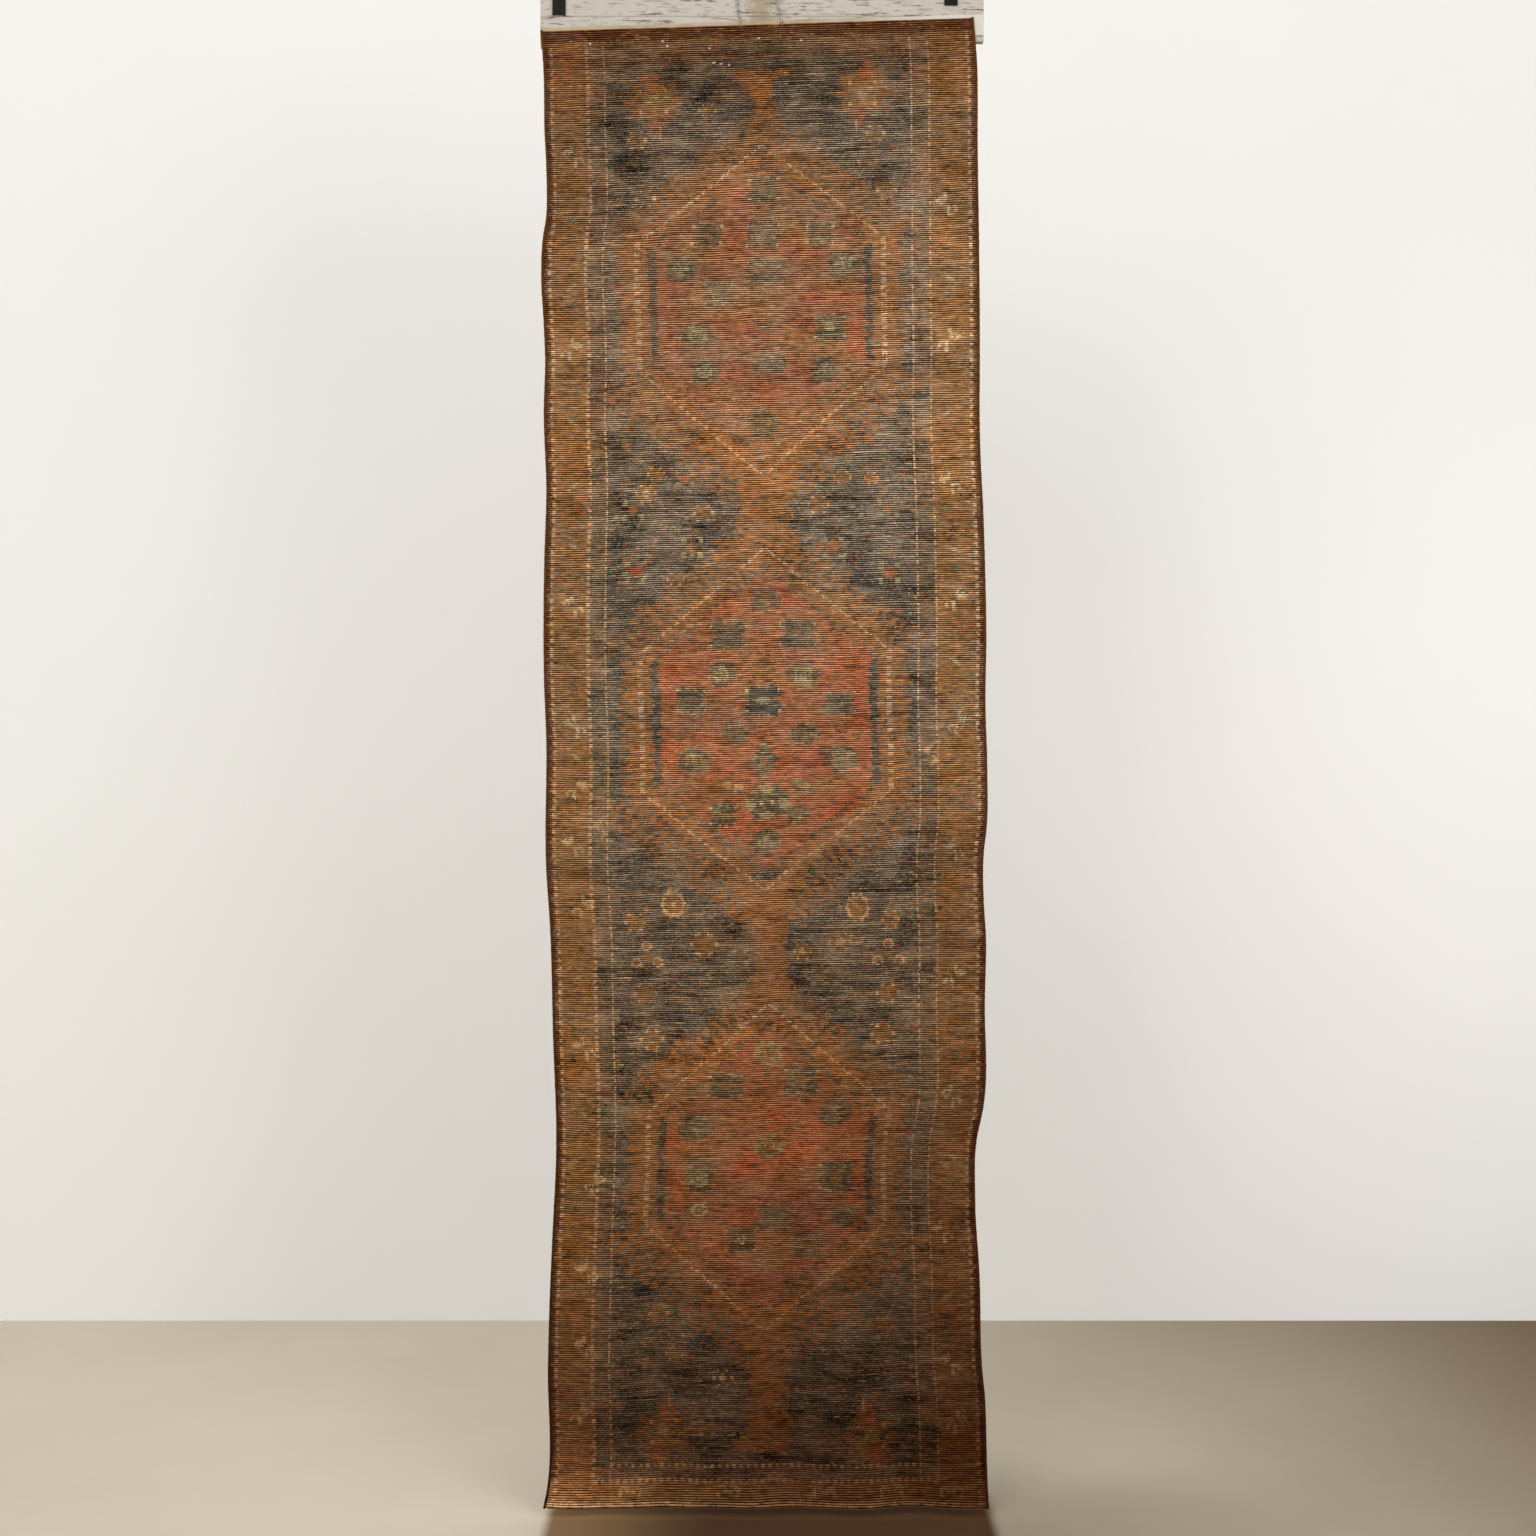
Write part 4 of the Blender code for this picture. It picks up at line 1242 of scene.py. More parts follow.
def iron_material(name, colour):
    """Black paint over flat iron, rubbed through in small spots."""
    material, tree, shader = new_material(name, 0.5, specular=0.12)
    rubs = noise(tree, object_coordinates(tree), 130.0, 6.0, 0.7)
    bare = mapped(tree, rubs, 0.60, 0.72)
    rust = srgb(96, 62, 42)
    tree.links.new(mapped(tree, rubs, 0.3, 0.7, 0.38, 0.75), shader.inputs["Roughness"])
    finish_shader(tree, shader, mixed_colour(tree, bare, colour, rust), 0.4, 0.0004, rubs)
    return material


def steel_material(name, colour):
    """Small dull steel wire, with random darker specks of painted shade."""
    material, tree, shader = new_material(name, 0.32, metallic=1.0)
    dull = noise(tree, object_coordinates(tree), 420.0, 4.0)
    shade = mapped(tree, dull, 0.42, 0.58, 0.10, 1.0)
    tree.links.new(scaled_colour(tree, colour, shade), shader.inputs["Base Color"])
    tree.links.new(mapped(tree, dull, 0.3, 0.7, 0.14, 0.4), shader.inputs["Roughness"])
    return material


def place_ramps(tree):
    """A function that ramps smoothly from one value to another along an axis."""
    parts = axes_of(tree, object_coordinates(tree))

    def ramp(axis, start, end, low=0.0, high=1.0):
        return mapped(tree, parts[axis], start, end, low, high, "SMOOTHSTEP")

    return ramp


def floor_tones(stage):
    """Painted light on the floor: it darkens to the right in painted shade, is dark in a painted shadow
    and reflection of the hem, and less so in painted shade beside it.
    """

    def build(tree, colour):
        ramp = place_ramps(tree)
        shade_to_right = product(tree, ramp("X", -0.4, 3.2), ramp("X", 3.2, 5.5, 1.0, 0.0), ramp("Y", -3.5, -0.5))
        ground = mixed_colour(tree, shade_to_right, colour, stage.far_floor_shade[:])
        beside = product(
            tree, ramp("X", 0.50, 0.57), ramp("X", 0.57, 1.7, 0.55, 0.0),
            ramp("Y", -0.05, 0.45, 1.0, 0.0), ramp("Y", -0.70, -0.25),
        )
        ground = mixed_colour(tree, beside, ground, stage.far_floor_shade[:])
        under = product(
            tree, ramp("X", -0.535, -0.50), ramp("X", 0.54, 0.575, 1.0, 0.0),
            ramp("Y", -0.50, -0.20), ramp("Y", 0.03, 0.30, 1.0, 0.0), 0.97,
        )
        dark = mixed_colour(tree, ramp("X", -0.50, -0.10), stage.shadow_edge[:], stage.shadow[:])
        return mixed_colour(tree, under, ground, dark)

    return build


def wall_tones(tree, colour):
    """Painted light on the wall: it is a little darker at its top and lighter to the right."""
    ramp = place_ramps(tree)
    more = product(tree, ramp("Z", -1.9, 0.2, 1.0, 0.0), ramp("X", -0.5, 0.9, 0.035, 0.135))
    return scaled_colour(tree, colour, maths(tree, "ADD", more, 0.965))


def stage_material(name, colour, mottle_scale, mottle, tones):
    """A pale plain surface with slight mottling, seen only from its front."""
    material, tree, shader = new_material(name, 0.9, specular=0.0)
    blots = noise(tree, object_coordinates(tree), mottle_scale, 6.0, 0.55)
    tone = mapped(tree, blots, 0.3, 0.7, 1.0 - mottle, 1.0 + mottle)
    tree.links.new(scaled_colour(tree, tones(tree, colour), tone), shader.inputs["Base Color"])
    side = add_node(tree, "ShaderNodeNewGeometry")
    clear = add_node(tree, "ShaderNodeBsdfTransparent")
    mix = add_node(tree, "ShaderNodeMixShader", {
        0: side.outputs["Backfacing"], 1: shader.outputs[0], 2: clear.outputs[0],
    })
    tree.links.new(mix.outputs[0], tree.nodes["Material Output"].inputs["Surface"])
    return material


def random_value(tree, low, high, seed, later=0):
    """A random value for each repeat, from a seed of its own."""
    own = add_node(tree, "FunctionNodeIntegerMath", {0: seed, 1: later}, operation="ADD").outputs[0]
    inputs = {2: low, 3: high, "Seed": own}
    return add_node(tree, "FunctionNodeRandomValue", inputs, data_type="FLOAT").outputs[1]


def keep_tone(tree, geometry, value, domain):
    """Store the tone that the yarn's material reads."""
    inputs = {"Geometry": geometry, "Name": "tone", "Value": value}
    return add_node(
        tree, "GeometryNodeStoreNamedAttribute", inputs, data_type="FLOAT", domain=domain
    ).outputs[0]


def repeat_tree():
    """Puts a shape along a route at an even pitch, each turned, scaled and toned a little differently."""
    name = "repeat_along_route"
    if name in bpy.data.node_groups:
        return bpy.data.node_groups[name]
    tree, given, made = new_group(
        name, "GeometryNodeTree",
        {
            "Route": ("Geometry", None), "Shape": ("Object", None), "Pitch": ("Float", 0.006),
            "Turn Each": ("Float", 0.0), "Turn Spread": ("Float", 0.0), "Smallest": ("Float", 1.0),
            "Largest": ("Float", 1.0), "Core Radius": ("Float", 0.001), "Seed": ("Int", 1),
            "Material": ("Material", None),
        },
        {"Geometry": "Geometry"},
    )
    seed, spread = given["Seed"], given["Turn Spread"]
    curve = add_node(tree, "GeometryNodeMeshToCurve", {"Mesh": given["Route"]}).outputs[0]
    even = add_node(
        tree, "GeometryNodeResampleCurve", {"Curve": curve, "Length": given["Pitch"]}, mode="LENGTH"
    )
    tangent = add_node(tree, "GeometryNodeInputTangent").outputs[0]
    aligned = add_node(tree, "FunctionNodeAlignRotationToVector", {"Vector": tangent}, axis="Z")
    index = add_node(tree, "GeometryNodeInputIndex").outputs[0]
    turn = maths(tree, "MULTIPLY", index, given["Turn Each"])
    stray = random_value(tree, maths(tree, "MULTIPLY", spread, -1.0), spread, seed)
    angle = maths(tree, "ADD", turn, stray)
    spin = add_node(tree, "FunctionNodeAxisAngleToRotation", {"Axis": (0.0, 0.0, 1.0), "Angle": angle})
    turned = add_node(
        tree, "FunctionNodeRotateRotation",
        {"Rotation": aligned.outputs[0], "Rotate By": spin.outputs[0]}, rotation_space="LOCAL",
    )
    shape = add_node(tree, "GeometryNodeObjectInfo", {"Object": given["Shape"]})
    placed = add_node(tree, "GeometryNodeInstanceOnPoints", {
        "Points": even.outputs[0], "Instance": shape.outputs["Geometry"],
        "Rotation": turned.outputs[0],
        "Scale": random_value(tree, given["Smallest"], given["Largest"], seed, 7),
    })
    tone = random_value(tree, 0.72, 1.25, seed, 13)
    ring = add_node(
        tree, "GeometryNodeCurvePrimitiveCircle", {"Resolution": 8, "Radius": given["Core Radius"]}
    )
    core = add_node(
        tree, "GeometryNodeCurveToMesh",
        {"Curve": curve, "Profile Curve": ring.outputs[0], "Fill Caps": True},
    )
    both = tree.nodes.new("GeometryNodeJoinGeometry")
    tree.links.new(keep_tone(tree, core.outputs[0], 0.8, "POINT"), both.inputs[0])
    tree.links.new(keep_tone(tree, placed.outputs[0], tone, "INSTANCE"), both.inputs[0])
    real = add_node(tree, "GeometryNodeRealizeInstances", {0: both.outputs[0]}).outputs[0]
    finished = add_node(
        tree, "GeometryNodeSetMaterial", {"Geometry": real, "Material": given["Material"]}
    )
    tree.links.new(finished.outputs[0], made["Geometry"])
    return tree


def repeat_along(name, route, shape, material, values):
    """Run the repeat tree on a route and keep its result as a plain mesh."""
    links = [(k, k + 1) for k in range(len(route) - 1)]
    piece = place_object(name, mesh_of(name, [tuple(point) for point in route], links, []))
    tree = repeat_tree()
    modifier = piece.modifiers.new("repeat", "NODES")
    modifier.node_group = tree
    keys = {
        item.name: item.identifier for item in tree.interface.items_tree
        if item.item_type == "SOCKET" and item.in_out == "INPUT"
    }
    for label, value in {"Shape": shape, "Material": material, **values}.items():
        modifier[keys[label]] = value
    bpy.context.view_layer.update()
    graph = bpy.context.evaluated_depsgraph_get()
    made = bpy.data.meshes.new_from_object(piece.evaluated_get(graph), depsgraph=graph)
    if len(made.polygons) == 0:
        raise RuntimeError(f"{name}: the repeat made no faces")
    piece.modifiers.clear()
    piece.data = made
    made.name = name
    shade_smooth(made)
    bpy.data.objects.remove(shape, do_unlink=True)
    return piece


def loop_shape(name, path, thickness, closed, sides):
    """A yarn or wire of round section along a path of points, as a small mesh."""
    path = np.asarray(path, float)
    count = len(path)
    if closed:
        ahead = np.roll(path, -1, axis=0) - np.roll(path, 1, axis=0)
    else:
        ahead = np.gradient(path, axis=0)
    ahead /= np.linalg.norm(ahead, axis=1, keepdims=True)
    out = path - path.mean(axis=0) if closed else np.tile((0.31, 0.95, 0.05), (count, 1))
    side = np.cross(ahead, out)
    side /= np.linalg.norm(side, axis=1, keepdims=True)
    up = np.cross(side, ahead)
    angle = np.arange(sides) * 2 * math.pi / sides
    thickness = np.broadcast_to(np.asarray(thickness, float), (count,))
    rings = path[:, None] + 0.5 * thickness[:, None, None] * (
        np.cos(angle)[None, :, None] * up[:, None] + np.sin(angle)[None, :, None] * side[:, None]
    )
    faces = []
    for k in range(count if closed else count - 1):
        for s in range(sides):
            a, b = k * sides + s, k * sides + (s + 1) % sides
            c, d = ((k + 1) % count) * sides + (s + 1) % sides, ((k + 1) % count) * sides + s
            faces.append((a, b, c, d))
    if not closed:
        faces.append(tuple(range(sides))[::-1])
        faces.append(tuple((count - 1) * sides + s for s in range(sides)))
    return place_object(name, mesh_of(name, rings.reshape(-1, 3).tolist(), [], faces))


def rug_top_at(x):
    left, right = rug_points(0.0, 0.0), rug_points(1.0, 0.0)
    return float(left[2] + (right[2] - left[2]) * (x - left[0]) / (right[0] - left[0]))


def front_surface(settings, rng):
    """Points of the pile's face: two lines for each row, a ridge and the weft below it."""
    lines = 2 * ROWS + 1
    v = np.linspace(0.0, 1.0, lines)
    u = np.linspace(0.0, 1.0, KNOTS + 1)
    shape = (ROWS + 1, KNOTS + 1)
    drift = settings.waver * 0.6 * soft_noise(rng, 9, 26, shape)
    drift += settings.waver * 0.4 * soft_noise(rng, 3, 9, shape)
    rows = np.arange(lines) / 2
    low = np.minimum(np.floor(rows).astype(int), ROWS - 1)
    share = (rows - low)[:, None]
    drift = drift[low] * (1 - share) + drift[low + 1] * share
    ends = np.clip(np.minimum(v, 1 - v) * ROWS / 4, 0, 1)[:, None]
    points = rug_points(u[None, :], v[:, None])
    normals = surface_normals(points)
    depth = 1.0 + 0.35 * soft_noise(rng, 0.7, 6, shape) + 0.12 * rng.standard_normal(shape)
    depth = np.clip(depth, 0.15, 1.9)
    lift = np.zeros((lines, KNOTS + 1))
    lift[1::2] = 0.5 * settings.relief * depth[:-1]
    lift[0::2] = -0.5 * settings.relief * depth
    points[..., 2] += drift * ends
    points[:, 0, 0] -= SIDE_TUCK
    points[:, -1, 0] += SIDE_TUCK
    lift *= ends
    face = points + normals * (RUG_THICKNESS / 2 + lift)[..., None]
    back = points - normals * (RUG_THICKNESS / 2 - BACK_TUCK)
    return u, v, face, back


# What the steps have made so far, for the steps that come after them.
MADE = {}


def shared_wool(context):
    """The knots' colours, made once for the front and the back."""
    if "wool" not in MADE:
        rng = np.random.default_rng(context.scene.rug_pile.seed)
        MADE["wool"] = Wool(context.scene.rug_dyes, rng)
    return MADE["wool"]


class RUG_OT_knot_pile(bpy.types.Operator):
    """Knot the face of the rug, row by row, in four lengths"""

    bl_idname = "sarab_rug.knot_pile"
    bl_label = "Knot the Pile"

    def execute(self, context):
        settings = context.scene.rug_pile
        wool = shared_wool(context)
        u, v, face, back = front_surface(settings, np.random.default_rng(settings.seed + 1))
        material = wool_pile_material("worn_wool_pile")
        points = np.concatenate([back[:1], face, back[-1:]])
        turned_in = np.concatenate([back[:1], back, back[-1:]])
        points = np.concatenate([turned_in[:, :1], points, turned_in[:, -1:]], axis=1)
        rim = ((1, 1), (1, 1), (0, 0))
        cloth = np.pad(np.stack(np.meshgrid(u, v), axis=-1), rim, mode="edge")
        # The ridge faces take the tips' colours and the weft faces the roots', with their painted
        # highlight and shade.
        colours = np.stack([wool.tip, wool.root], axis=1).reshape(2 * ROWS, KNOTS, 3)
        colours = np.pad(colours, rim, mode="edge")
        share = 2 * ROWS // FRONT_PIECES
        MADE["pile"] = []
        for number in range(FRONT_PIECES):
            top = number * share + (number > 0)
            foot = (number + 1) * share + 1 + (number == FRONT_PIECES - 1)
            part = points[top:foot + 1]
            faces = grid_faces(*part.shape[:2])
            piece = add_mesh(f"pile_{number + 1}", part.reshape(-1, 3), faces, material)
            set_cloth_uv(piece.data, cloth[top:foot + 1].reshape(-1, 2))
            set_corner_colours(piece.data, "dye", colours[top:foot].reshape(-1, 3))
            hand_over(piece, "rug")
            MADE["pile"].append(piece)
        return {"FINISHED"}


class RUG_OT_knot_back(bpy.types.Operator):
    """Make the back of the rug, where each knot shows as a small loop"""

    bl_idname = "sarab_rug.knot_back"
    bl_label = "Knot the Back"

    def execute(self, context):
        wool = shared_wool(context)
        down, across = ROWS // 2, KNOTS // 2
        u, v = np.linspace(0.0, 1.0, across + 1), np.linspace(0.0, 1.0, down + 1)
        points = rug_points(u[None, :], v[:, None])
        points = points - surface_normals(points) * (RUG_THICKNESS / 2)
        faces = grid_faces(down + 1, across + 1)[:, ::-1]
        piece = add_mesh("rug_back", points.reshape(-1, 3), faces, back_material("rug_back_knots"))
        set_cloth_uv(piece.data, np.stack(np.meshgrid(u, v), axis=-1).reshape(-1, 2))
        whole = 0.75 * wool.tip + 0.25 * wool.root
        halves = whole.reshape(down, 2, across, 2, 3).mean(axis=(1, 3))
        set_corner_colours(piece.data, "dye", halves.reshape(-1, 3))
        hand_over(piece, "rug")
        MADE["back"] = piece
        return {"FINISHED"}


class RUG_OT_overcast_sides(bpy.types.Operator):
    """Overcast both sides of the rug with dark yarn"""

    bl_idname = "sarab_rug.overcast_sides"
    bl_label = "Overcast the Sides"

    def execute(self, context):
        edge = context.scene.rug_edges
        material = yarn_material("overcast_yarn", edge.colour[:], edge.low_colour[:])
        v = np.linspace(0.0, 1.0, SIDE_STATIONS)
        angle = np.arange(STITCH_POINTS) * 2 * math.pi / STITCH_POINTS
        radius = SELVEDGE_RADIUS - edge.yarn / 2
        path = np.stack(
            [radius * np.cos(angle), radius * np.sin(angle), STITCH_SLANT * np.sin(angle)], axis=1
        )
        MADE["edges"] = []
        for name, side, seed in (("selvedge_left", -1, 3), ("selvedge_right", 1, 5)):
            route = rug_points(0.0 if side < 0 else 1.0, v)
            route[:, 0] += side * (SELVEDGE_GAP + SELVEDGE_RADIUS)
            route[:, 1] -= SELVEDGE_RADIUS - RUG_THICKNESS / 2
            yarn = edge.yarn * STITCH_YARN_SHARE
            stitch = loop_shape(name + "_stitch", path, yarn, True, STITCH_SIDES)
            piece = repeat_along(name + "_yarn", route, stitch, material, {
                "Pitch": edge.pitch * STITCH_PITCH_SHARE, "Turn Spread": 0.5, "Smallest": 0.93,
                "Largest": 1.07, "Core Radius": SELVEDGE_RADIUS * CORE_SHARE, "Seed": seed,
            })
            hand_over(piece, name)
            MADE["edges"].append(piece)
        return {"FINISHED"}


class RUG_OT_cut_warp_ends(bpy.types.Operator):
    """Leave the short cut warp ends that stand out of the hem"""

    bl_idname = "sarab_rug.cut_warp_ends"
    bl_label = "Cut the Warp Ends"

    def execute(self, context):
        edge = context.scene.rug_edges
        material = yarn_material("warp_ends", srgb(176, 142, 100), srgb(120, 88, 58))
        route = rug_points(np.linspace(0.004, 0.996, HEM_STATIONS), 1.0)
        length = edge.warp_length
        path = [(0, 0, 0), (0.0002, -0.35 * length, -0.0003), (-0.0004, -length, 0.0006)]
        end = loop_shape("warp_end", path, WARP_END_THICKNESS, False, 5)
        # Turned so that it points down where the route runs along the hem.
        end.data.transform(Matrix.Rotation(math.radians(90.0), 4, "Z"))
        piece = repeat_along("hem_warp_ends", route, end, material, {
            "Pitch": edge.warp_pitch, "Turn Spread": 0.30, "Smallest": 0.55, "Largest": 1.15,
            "Core Radius": 0.0016, "Seed": 21,
        })
        hand_over(piece)
        MADE["ends"] = piece
        return {"FINISHED"}


class RUG_OT_leave_lint(bpy.types.Operator):
    """Leave the white tufts of lint that cling near the top edge"""

    bl_idname = "sarab_rug.leave_lint"
    bl_label = "Leave the Lint"

    def execute(self, context):
        rng = np.random.default_rng(77)
        white = srgb(248, 249, 248)
        points, faces = [], []
        for x, z in LINT_PLACES:
            base = np.array([x, rest_depth() - RUG_THICKNESS / 2 - LINT_LIFT, z])
            for _ in range(LINT_STRANDS):
                start = base + rng.normal(0, 0.0013, 3) * (1.3, 0.2, 0.8)
                bend = rng.normal(0, 0.0010, 3) * (1, 0.3, 0.8)
                middle = start + bend + (0, -0.0004, 0)
                finish = start + bend * 0.6 + rng.normal(0, 0.0009, 3) * (1, 0.3, 1)
                strand = loop_shape("strand", [start, middle, finish], LINT_THICKNESS, False, 4)
                first = len(points)
                points.extend(tuple(vertex.co) for vertex in strand.data.vertices)
                for polygon in strand.data.polygons:
                    faces.append(tuple(first + k for k in polygon.vertices))
                bpy.data.objects.remove(strand, do_unlink=True)
        mesh = mesh_of("lint", points, [], faces, yarn_material("white_lint", white, white))
        tone = mesh.attributes.new("tone", "FLOAT", "POINT")
        tone.data.foreach_set("value", np.ones(len(points), np.float32))
        piece = place_object("lint", mesh)
        hand_over(piece)
        MADE["lint"] = piece
        return {"FINISHED"}


class RUG_OT_sew_tape(bpy.types.Operator):
    bl_idname = "sarab_rug.sew_tape"
    bl_label = "Sew the Heading Tape"

    def execute(self, context):
        board = context.scene.rug_board
        material = tape_material("heading_cotton", board.tape[:], board.tape_end[:])
        left, right = rug_points(0.0, 0.0), rug_points(1.0, 0.0)
        slope = (right[2] - left[2]) / (right[0] - left[0])
        tilt = math.atan(slope)
        middle_z = left[2] - left[0] * slope + TAPE_SHOWS - TAPE_WIDTH / 2
        x = np.linspace(-0.5, 0.5, TAPE_ACROSS + 1) * BOARD_LENGTH
        z = np.linspace(0.5, -0.5, TAPE_DOWN + 1) * TAPE_WIDTH
        x, z = np.meshgrid(x, z)
        z = z + TAPE_WAVE * np.sin(x * 61.0) * np.sin(x * 17.0 + 1.0) * (z > 0)
        depth = np.full_like(x, TAPE_THICKNESS / 2)
        front = np.stack([x, -depth, z], axis=-1)
        back = np.stack([x, depth, z], axis=-1)[:, ::-1]
        sheet = np.concatenate([front, back, front[:, :1]], axis=1)
        turned = sheet.copy()
        turned[..., 0] = sheet[..., 0] * math.cos(tilt) - sheet[..., 2] * math.sin(tilt)
        turned[..., 2] = sheet[..., 0] * math.sin(tilt) + sheet[..., 2] * math.cos(tilt) + middle_z
        turned[..., 1] -= BOARD_THICKNESS + CLEARANCE + TAPE_THICKNESS / 2
        faces = grid_faces(*turned.shape[:2])
        piece = add_mesh("heading_tape_cloth", turned.reshape(-1, 3), faces, material)
        close_tape_edges(piece.data)
        hand_over(piece, "heading_tape")
        return {"FINISHED"}


def close_tape_edges(mesh):
    """Merge the tape's wrapped grid, close its long edges and shade it flat."""
    cloth = bmesh.new()
    cloth.from_mesh(mesh)
    bmesh.ops.remove_doubles(cloth, verts=cloth.verts, dist=0.00001)
    open_edges = [edge for edge in cloth.edges if edge.is_boundary]
    bmesh.ops.holes_fill(cloth, edges=open_edges, sides=0)
    bmesh.ops.recalc_face_normals(cloth, faces=cloth.faces)
    cloth.to_mesh(mesh)
    cloth.free()
    shade_smooth(mesh, False)


class RUG_OT_finish_board(bpy.types.Operator):
    """Whitewash the board and paint the iron straps"""

    bl_idname = "sarab_rug.finish_board"
    bl_label = "Finish the Board and Straps"

    def execute(self, context):
        board = context.scene.rug_board
        paint = whitewash_material(
            "worn_whitewash", board.whitewash[:], board.wood[:], board.stain[:]
        )
        iron = iron_material("black_strap_iron", board.iron[:])
        for name, material in (("board", paint), ("strap_left", iron), ("strap_right", iron)):
            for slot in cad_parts[name].material_slots:
                slot.material = material
        return {"FINISHED"}


class RUG_OT_link_chains(bpy.types.Operator):
    """Link the two small chains and hook them into the rug's top edge"""

    bl_idname = "sarab_rug.link_chains"
    bl_label = "Link the Chains"

    def execute(self, context):
        board = context.scene.rug_board
        material = steel_material("chain_wire", board.steel[:])
        pitch, wire = board.link_pitch, board.link_wire
        over_z = BOARD_HEIGHT / 2 + CLEARANCE + CHAIN_RADIUS
        front_y = -(BOARD_THICKNESS + CLEARANCE + TAPE_THICKNESS) - CLEARANCE - CHAIN_RADIUS
        half_long, half_wide = pitch * 0.5 + wire * 0.9, CHAIN_RADIUS - wire / 2
        straight = max(half_long - half_wide, 0.0)
        angle = np.arange(LINK_POINTS) * 2 * math.pi / LINK_POINTS
        path = np.stack([
            half_wide * np.cos(angle), np.zeros(LINK_POINTS),
            half_wide * np.sin(angle) + straight * np.sign(np.sin(angle)),
        ], axis=1)
        for number, chain in enumerate(CHAINS):
            foot_z = rug_top_at(chain.foot_x) + 2 * CLEARANCE
            route = [
                (chain.top_x, -CHAIN_OVER_TOP, over_z),
                (chain.top_x, front_y + 2 * CHAIN_RADIUS, over_z),
                (chain.top_x, front_y + 0.6 * CHAIN_RADIUS, over_z - 0.6 * CHAIN_RADIUS),
                (chain.top_x, front_y, over_z - 2 * CHAIN_RADIUS),
                (chain.foot_x, front_y, foot_z + 0.003),
            ]
            link = loop_shape(chain.node + "_link", path, wire, True, 6)
            piece = repeat_along(chain.node + "_links", route, link, material, {
                "Pitch": pitch, "Turn Each": math.pi / 2, "Turn Spread": 0.12,
                "Smallest": 0.98, "Largest": 1.02, "Core Radius": 0.00002, "Seed": 31 + number,
            })
            add_hook(chain, foot_z, wire, material)
            hand_over(piece, chain.node)
        return {"FINISHED"}


def add_hook(chain, foot_z, wire, material):
    """A bent wire hook at the chain's lower end, through the rug's top edge."""
    turn = np.linspace(math.pi * 0.5, -math.pi * 1.05, HOOK_POINTS)
    path = np.stack([
        chain.foot_x + HOOK_RADIUS * np.cos(turn),
        np.full(HOOK_POINTS, rest_depth() - RUG_THICKNESS / 2 - wire * 0.7),
        foot_z - 0.0005 + HOOK_RADIUS * np.sin(turn),
    ], axis=1)
    hook = loop_shape(chain.node + "_hook", path, wire, False, 6)
    hook.data.materials.append(material)
    shade_smooth(hook.data)
    hand_over(hook)


def add_plane(name, corners, material):
    place_object(name, mesh_of(name, corners, [], [(0, 1, 2, 3)], material))


def add_soft_light(name, place, size, power):
    """A warm white area light that faces the rug."""
    data = bpy.data.lights.new(name, "AREA")
    data.shape = "RECTANGLE"
    data.size = data.size_y = size
    data.energy = power
    data.color = LIGHT_COLOUR
    light = place_object(name, data)
    light.location = place
    direction = Vector(LIGHT_TARGET) - Vector(place)
    light.rotation_euler = direction.to_track_quat("-Z", "Y").to_euler()


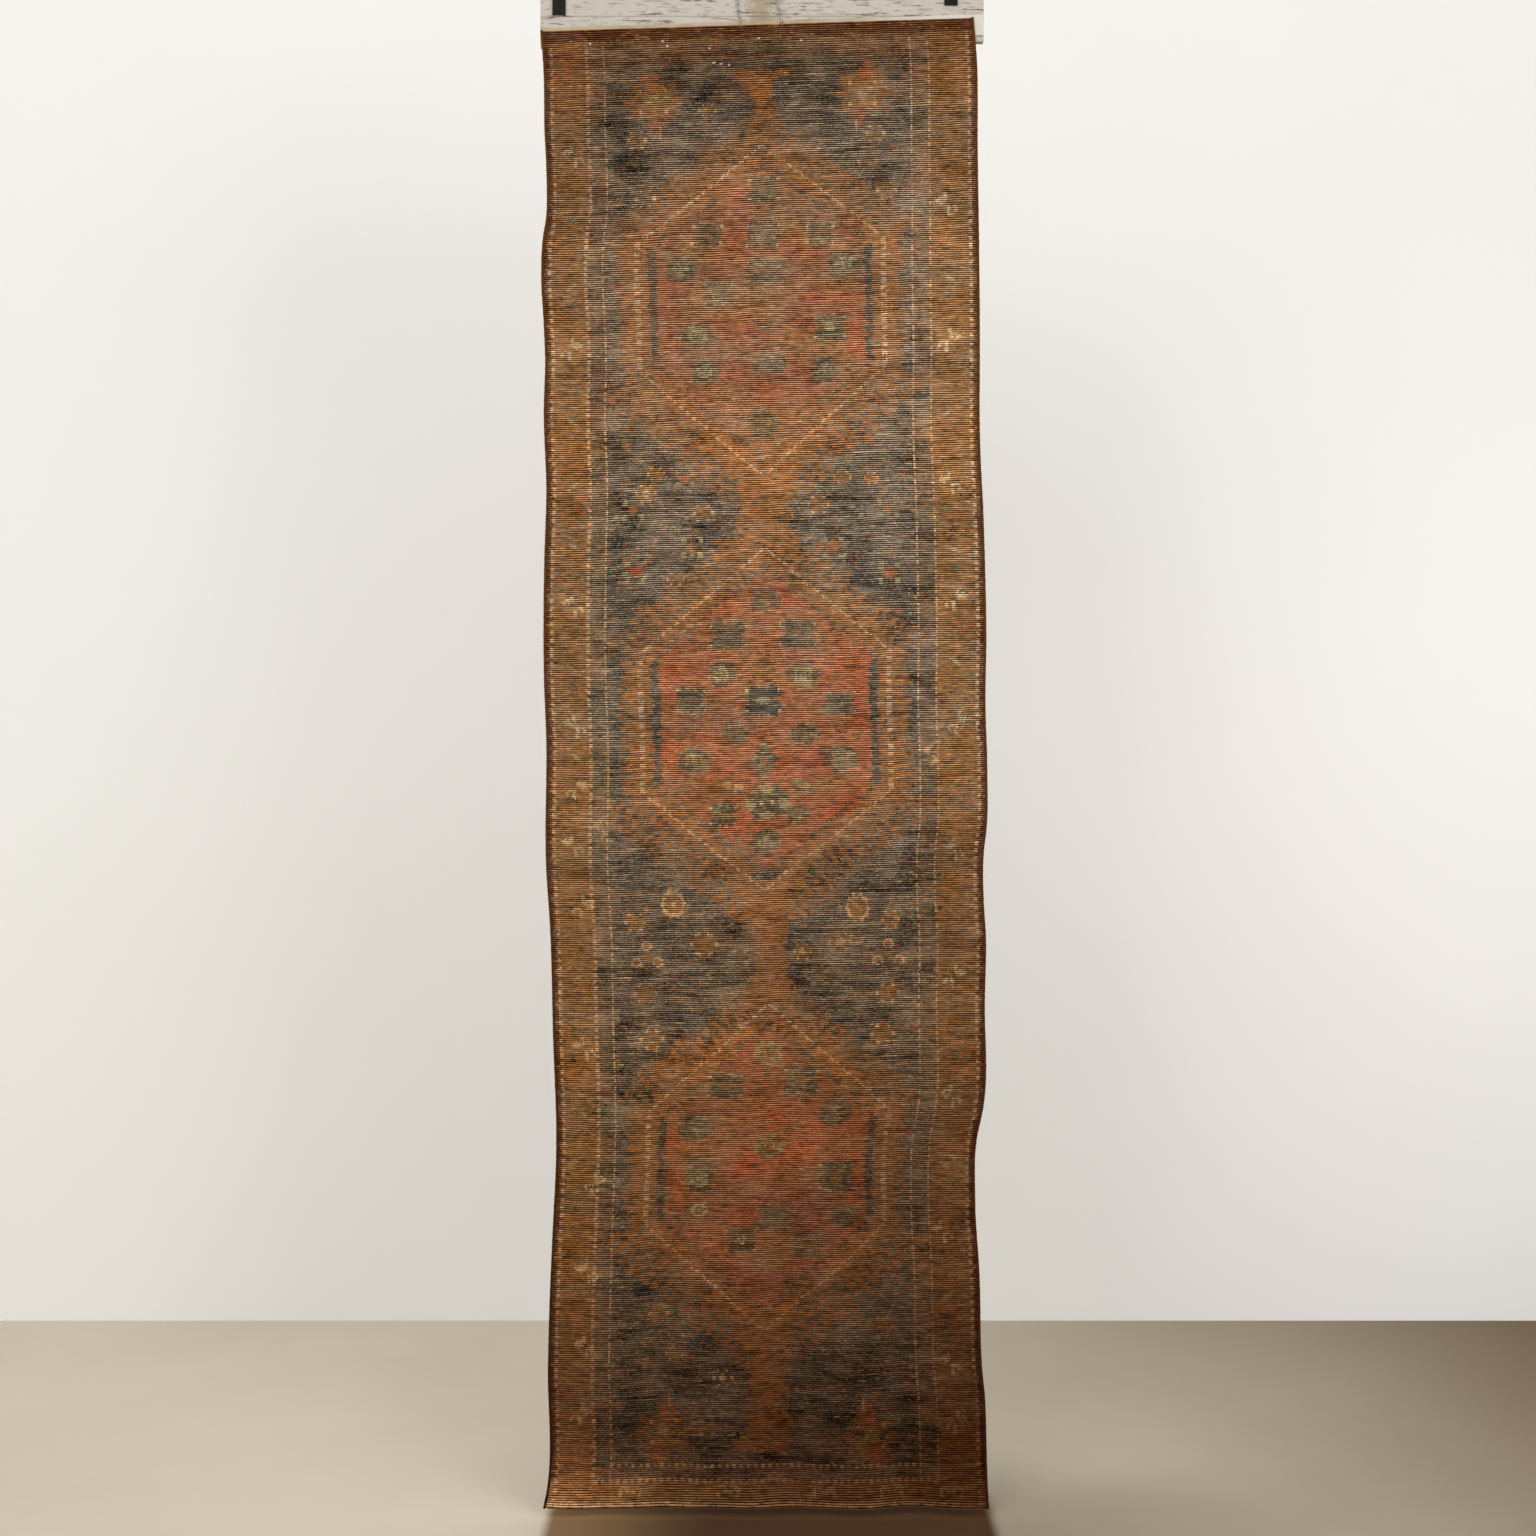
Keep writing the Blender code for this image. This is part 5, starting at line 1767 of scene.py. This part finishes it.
class RUG_OT_set_stage(bpy.types.Operator):
    """Set the floor, the wall, the lights and the camera"""

    bl_idname = "sarab_rug.set_stage"
    bl_label = "Set the Stage"

    def execute(self, context):
        scene = context.scene
        stage = scene.rug_stage
        floor = stage_material("pale_floor", stage.floor[:], 1.3, 0.04, floor_tones(stage))
        wall = stage_material("pale_wall", stage.wall[:], 0.7, 0.015, wall_tones)
        left, right = -STAGE_REACH, STAGE_REACH
        wall_foot = [(left, WALL_Y, FLOOR_Z), (right, WALL_Y, FLOOR_Z)]
        front_edge = [(left, left, FLOOR_Z), (right, left, FLOOR_Z)]
        add_plane("floor", [*front_edge, *reversed(wall_foot)], floor)
        wall_top = [(right, WALL_Y, WALL_TOP_Z), (left, WALL_Y, WALL_TOP_Z)]
        add_plane("backdrop", [*wall_foot, *wall_top], wall)
        add_soft_light("key", (-2.4, -4.6, 1.6), 2.6, stage.key)
        add_soft_light("fill", (3.2, -4.2, -0.4), 2.4, stage.fill)
        world = bpy.data.worlds.new("soft_studio")
        world.use_nodes = True
        ground = world.node_tree.nodes["Background"]
        ground.inputs["Color"].default_value = (1.0, 1.0, 1.0, 1.0)
        ground.inputs["Strength"].default_value = stage.ambient
        scene.world = world
        scene.view_settings.view_transform = "Standard"
        data = bpy.data.cameras.new("camera")
        data.lens = CAMERA_LENS
        data.sensor_width = 36.0
        scene.camera = place_object("camera", data)
        scene.camera.location = CAMERA_PLACE
        scene.camera.rotation_euler = (math.pi / 2, 0.0, 0.0)
        return {"FINISHED"}


class RUG_PT_panel(bpy.types.Panel):
    """Lists the steps that build the rug"""

    bl_label = "Sarab Rug"
    bl_idname = "RUG_PT_panel"
    bl_space_type = "VIEW_3D"
    bl_region_type = "UI"
    bl_category = "Sarab Rug"

    def draw(self, context):
        for step in STEPS:
            self.layout.operator(step.bl_idname)
        for group, kind in SETTINGS.items():
            for name in kind.__annotations__:
                self.layout.prop(getattr(context.scene, group), name)


STEPS = [
    RUG_OT_knot_pile,
    RUG_OT_knot_back,
    RUG_OT_overcast_sides,
    RUG_OT_cut_warp_ends,
    RUG_OT_leave_lint,
    RUG_OT_sew_tape,
    RUG_OT_finish_board,
    RUG_OT_link_chains,
    RUG_OT_set_stage,
]
SETTINGS = {
    "rug_dyes": DyeSettings,
    "rug_pile": PileSettings,
    "rug_edges": EdgeSettings,
    "rug_board": BoardSettings,
    "rug_stage": StageSettings,
}


def register():
    for kind in [*SETTINGS.values(), *STEPS, RUG_PT_panel]:
        bpy.utils.register_class(kind)
    for name, kind in SETTINGS.items():
        setattr(bpy.types.Scene, name, PointerProperty(type=kind))


def unregister():
    for name in SETTINGS:
        delattr(bpy.types.Scene, name)
    for kind in [RUG_PT_panel, *reversed(STEPS), *reversed(list(SETTINGS.values()))]:
        bpy.utils.unregister_class(kind)


def main():
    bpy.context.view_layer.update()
    register()
    for step in STEPS:
        family, name = step.bl_idname.split(".")
        getattr(getattr(bpy.ops, family), name)()


if __name__ == "__main__":
    main()
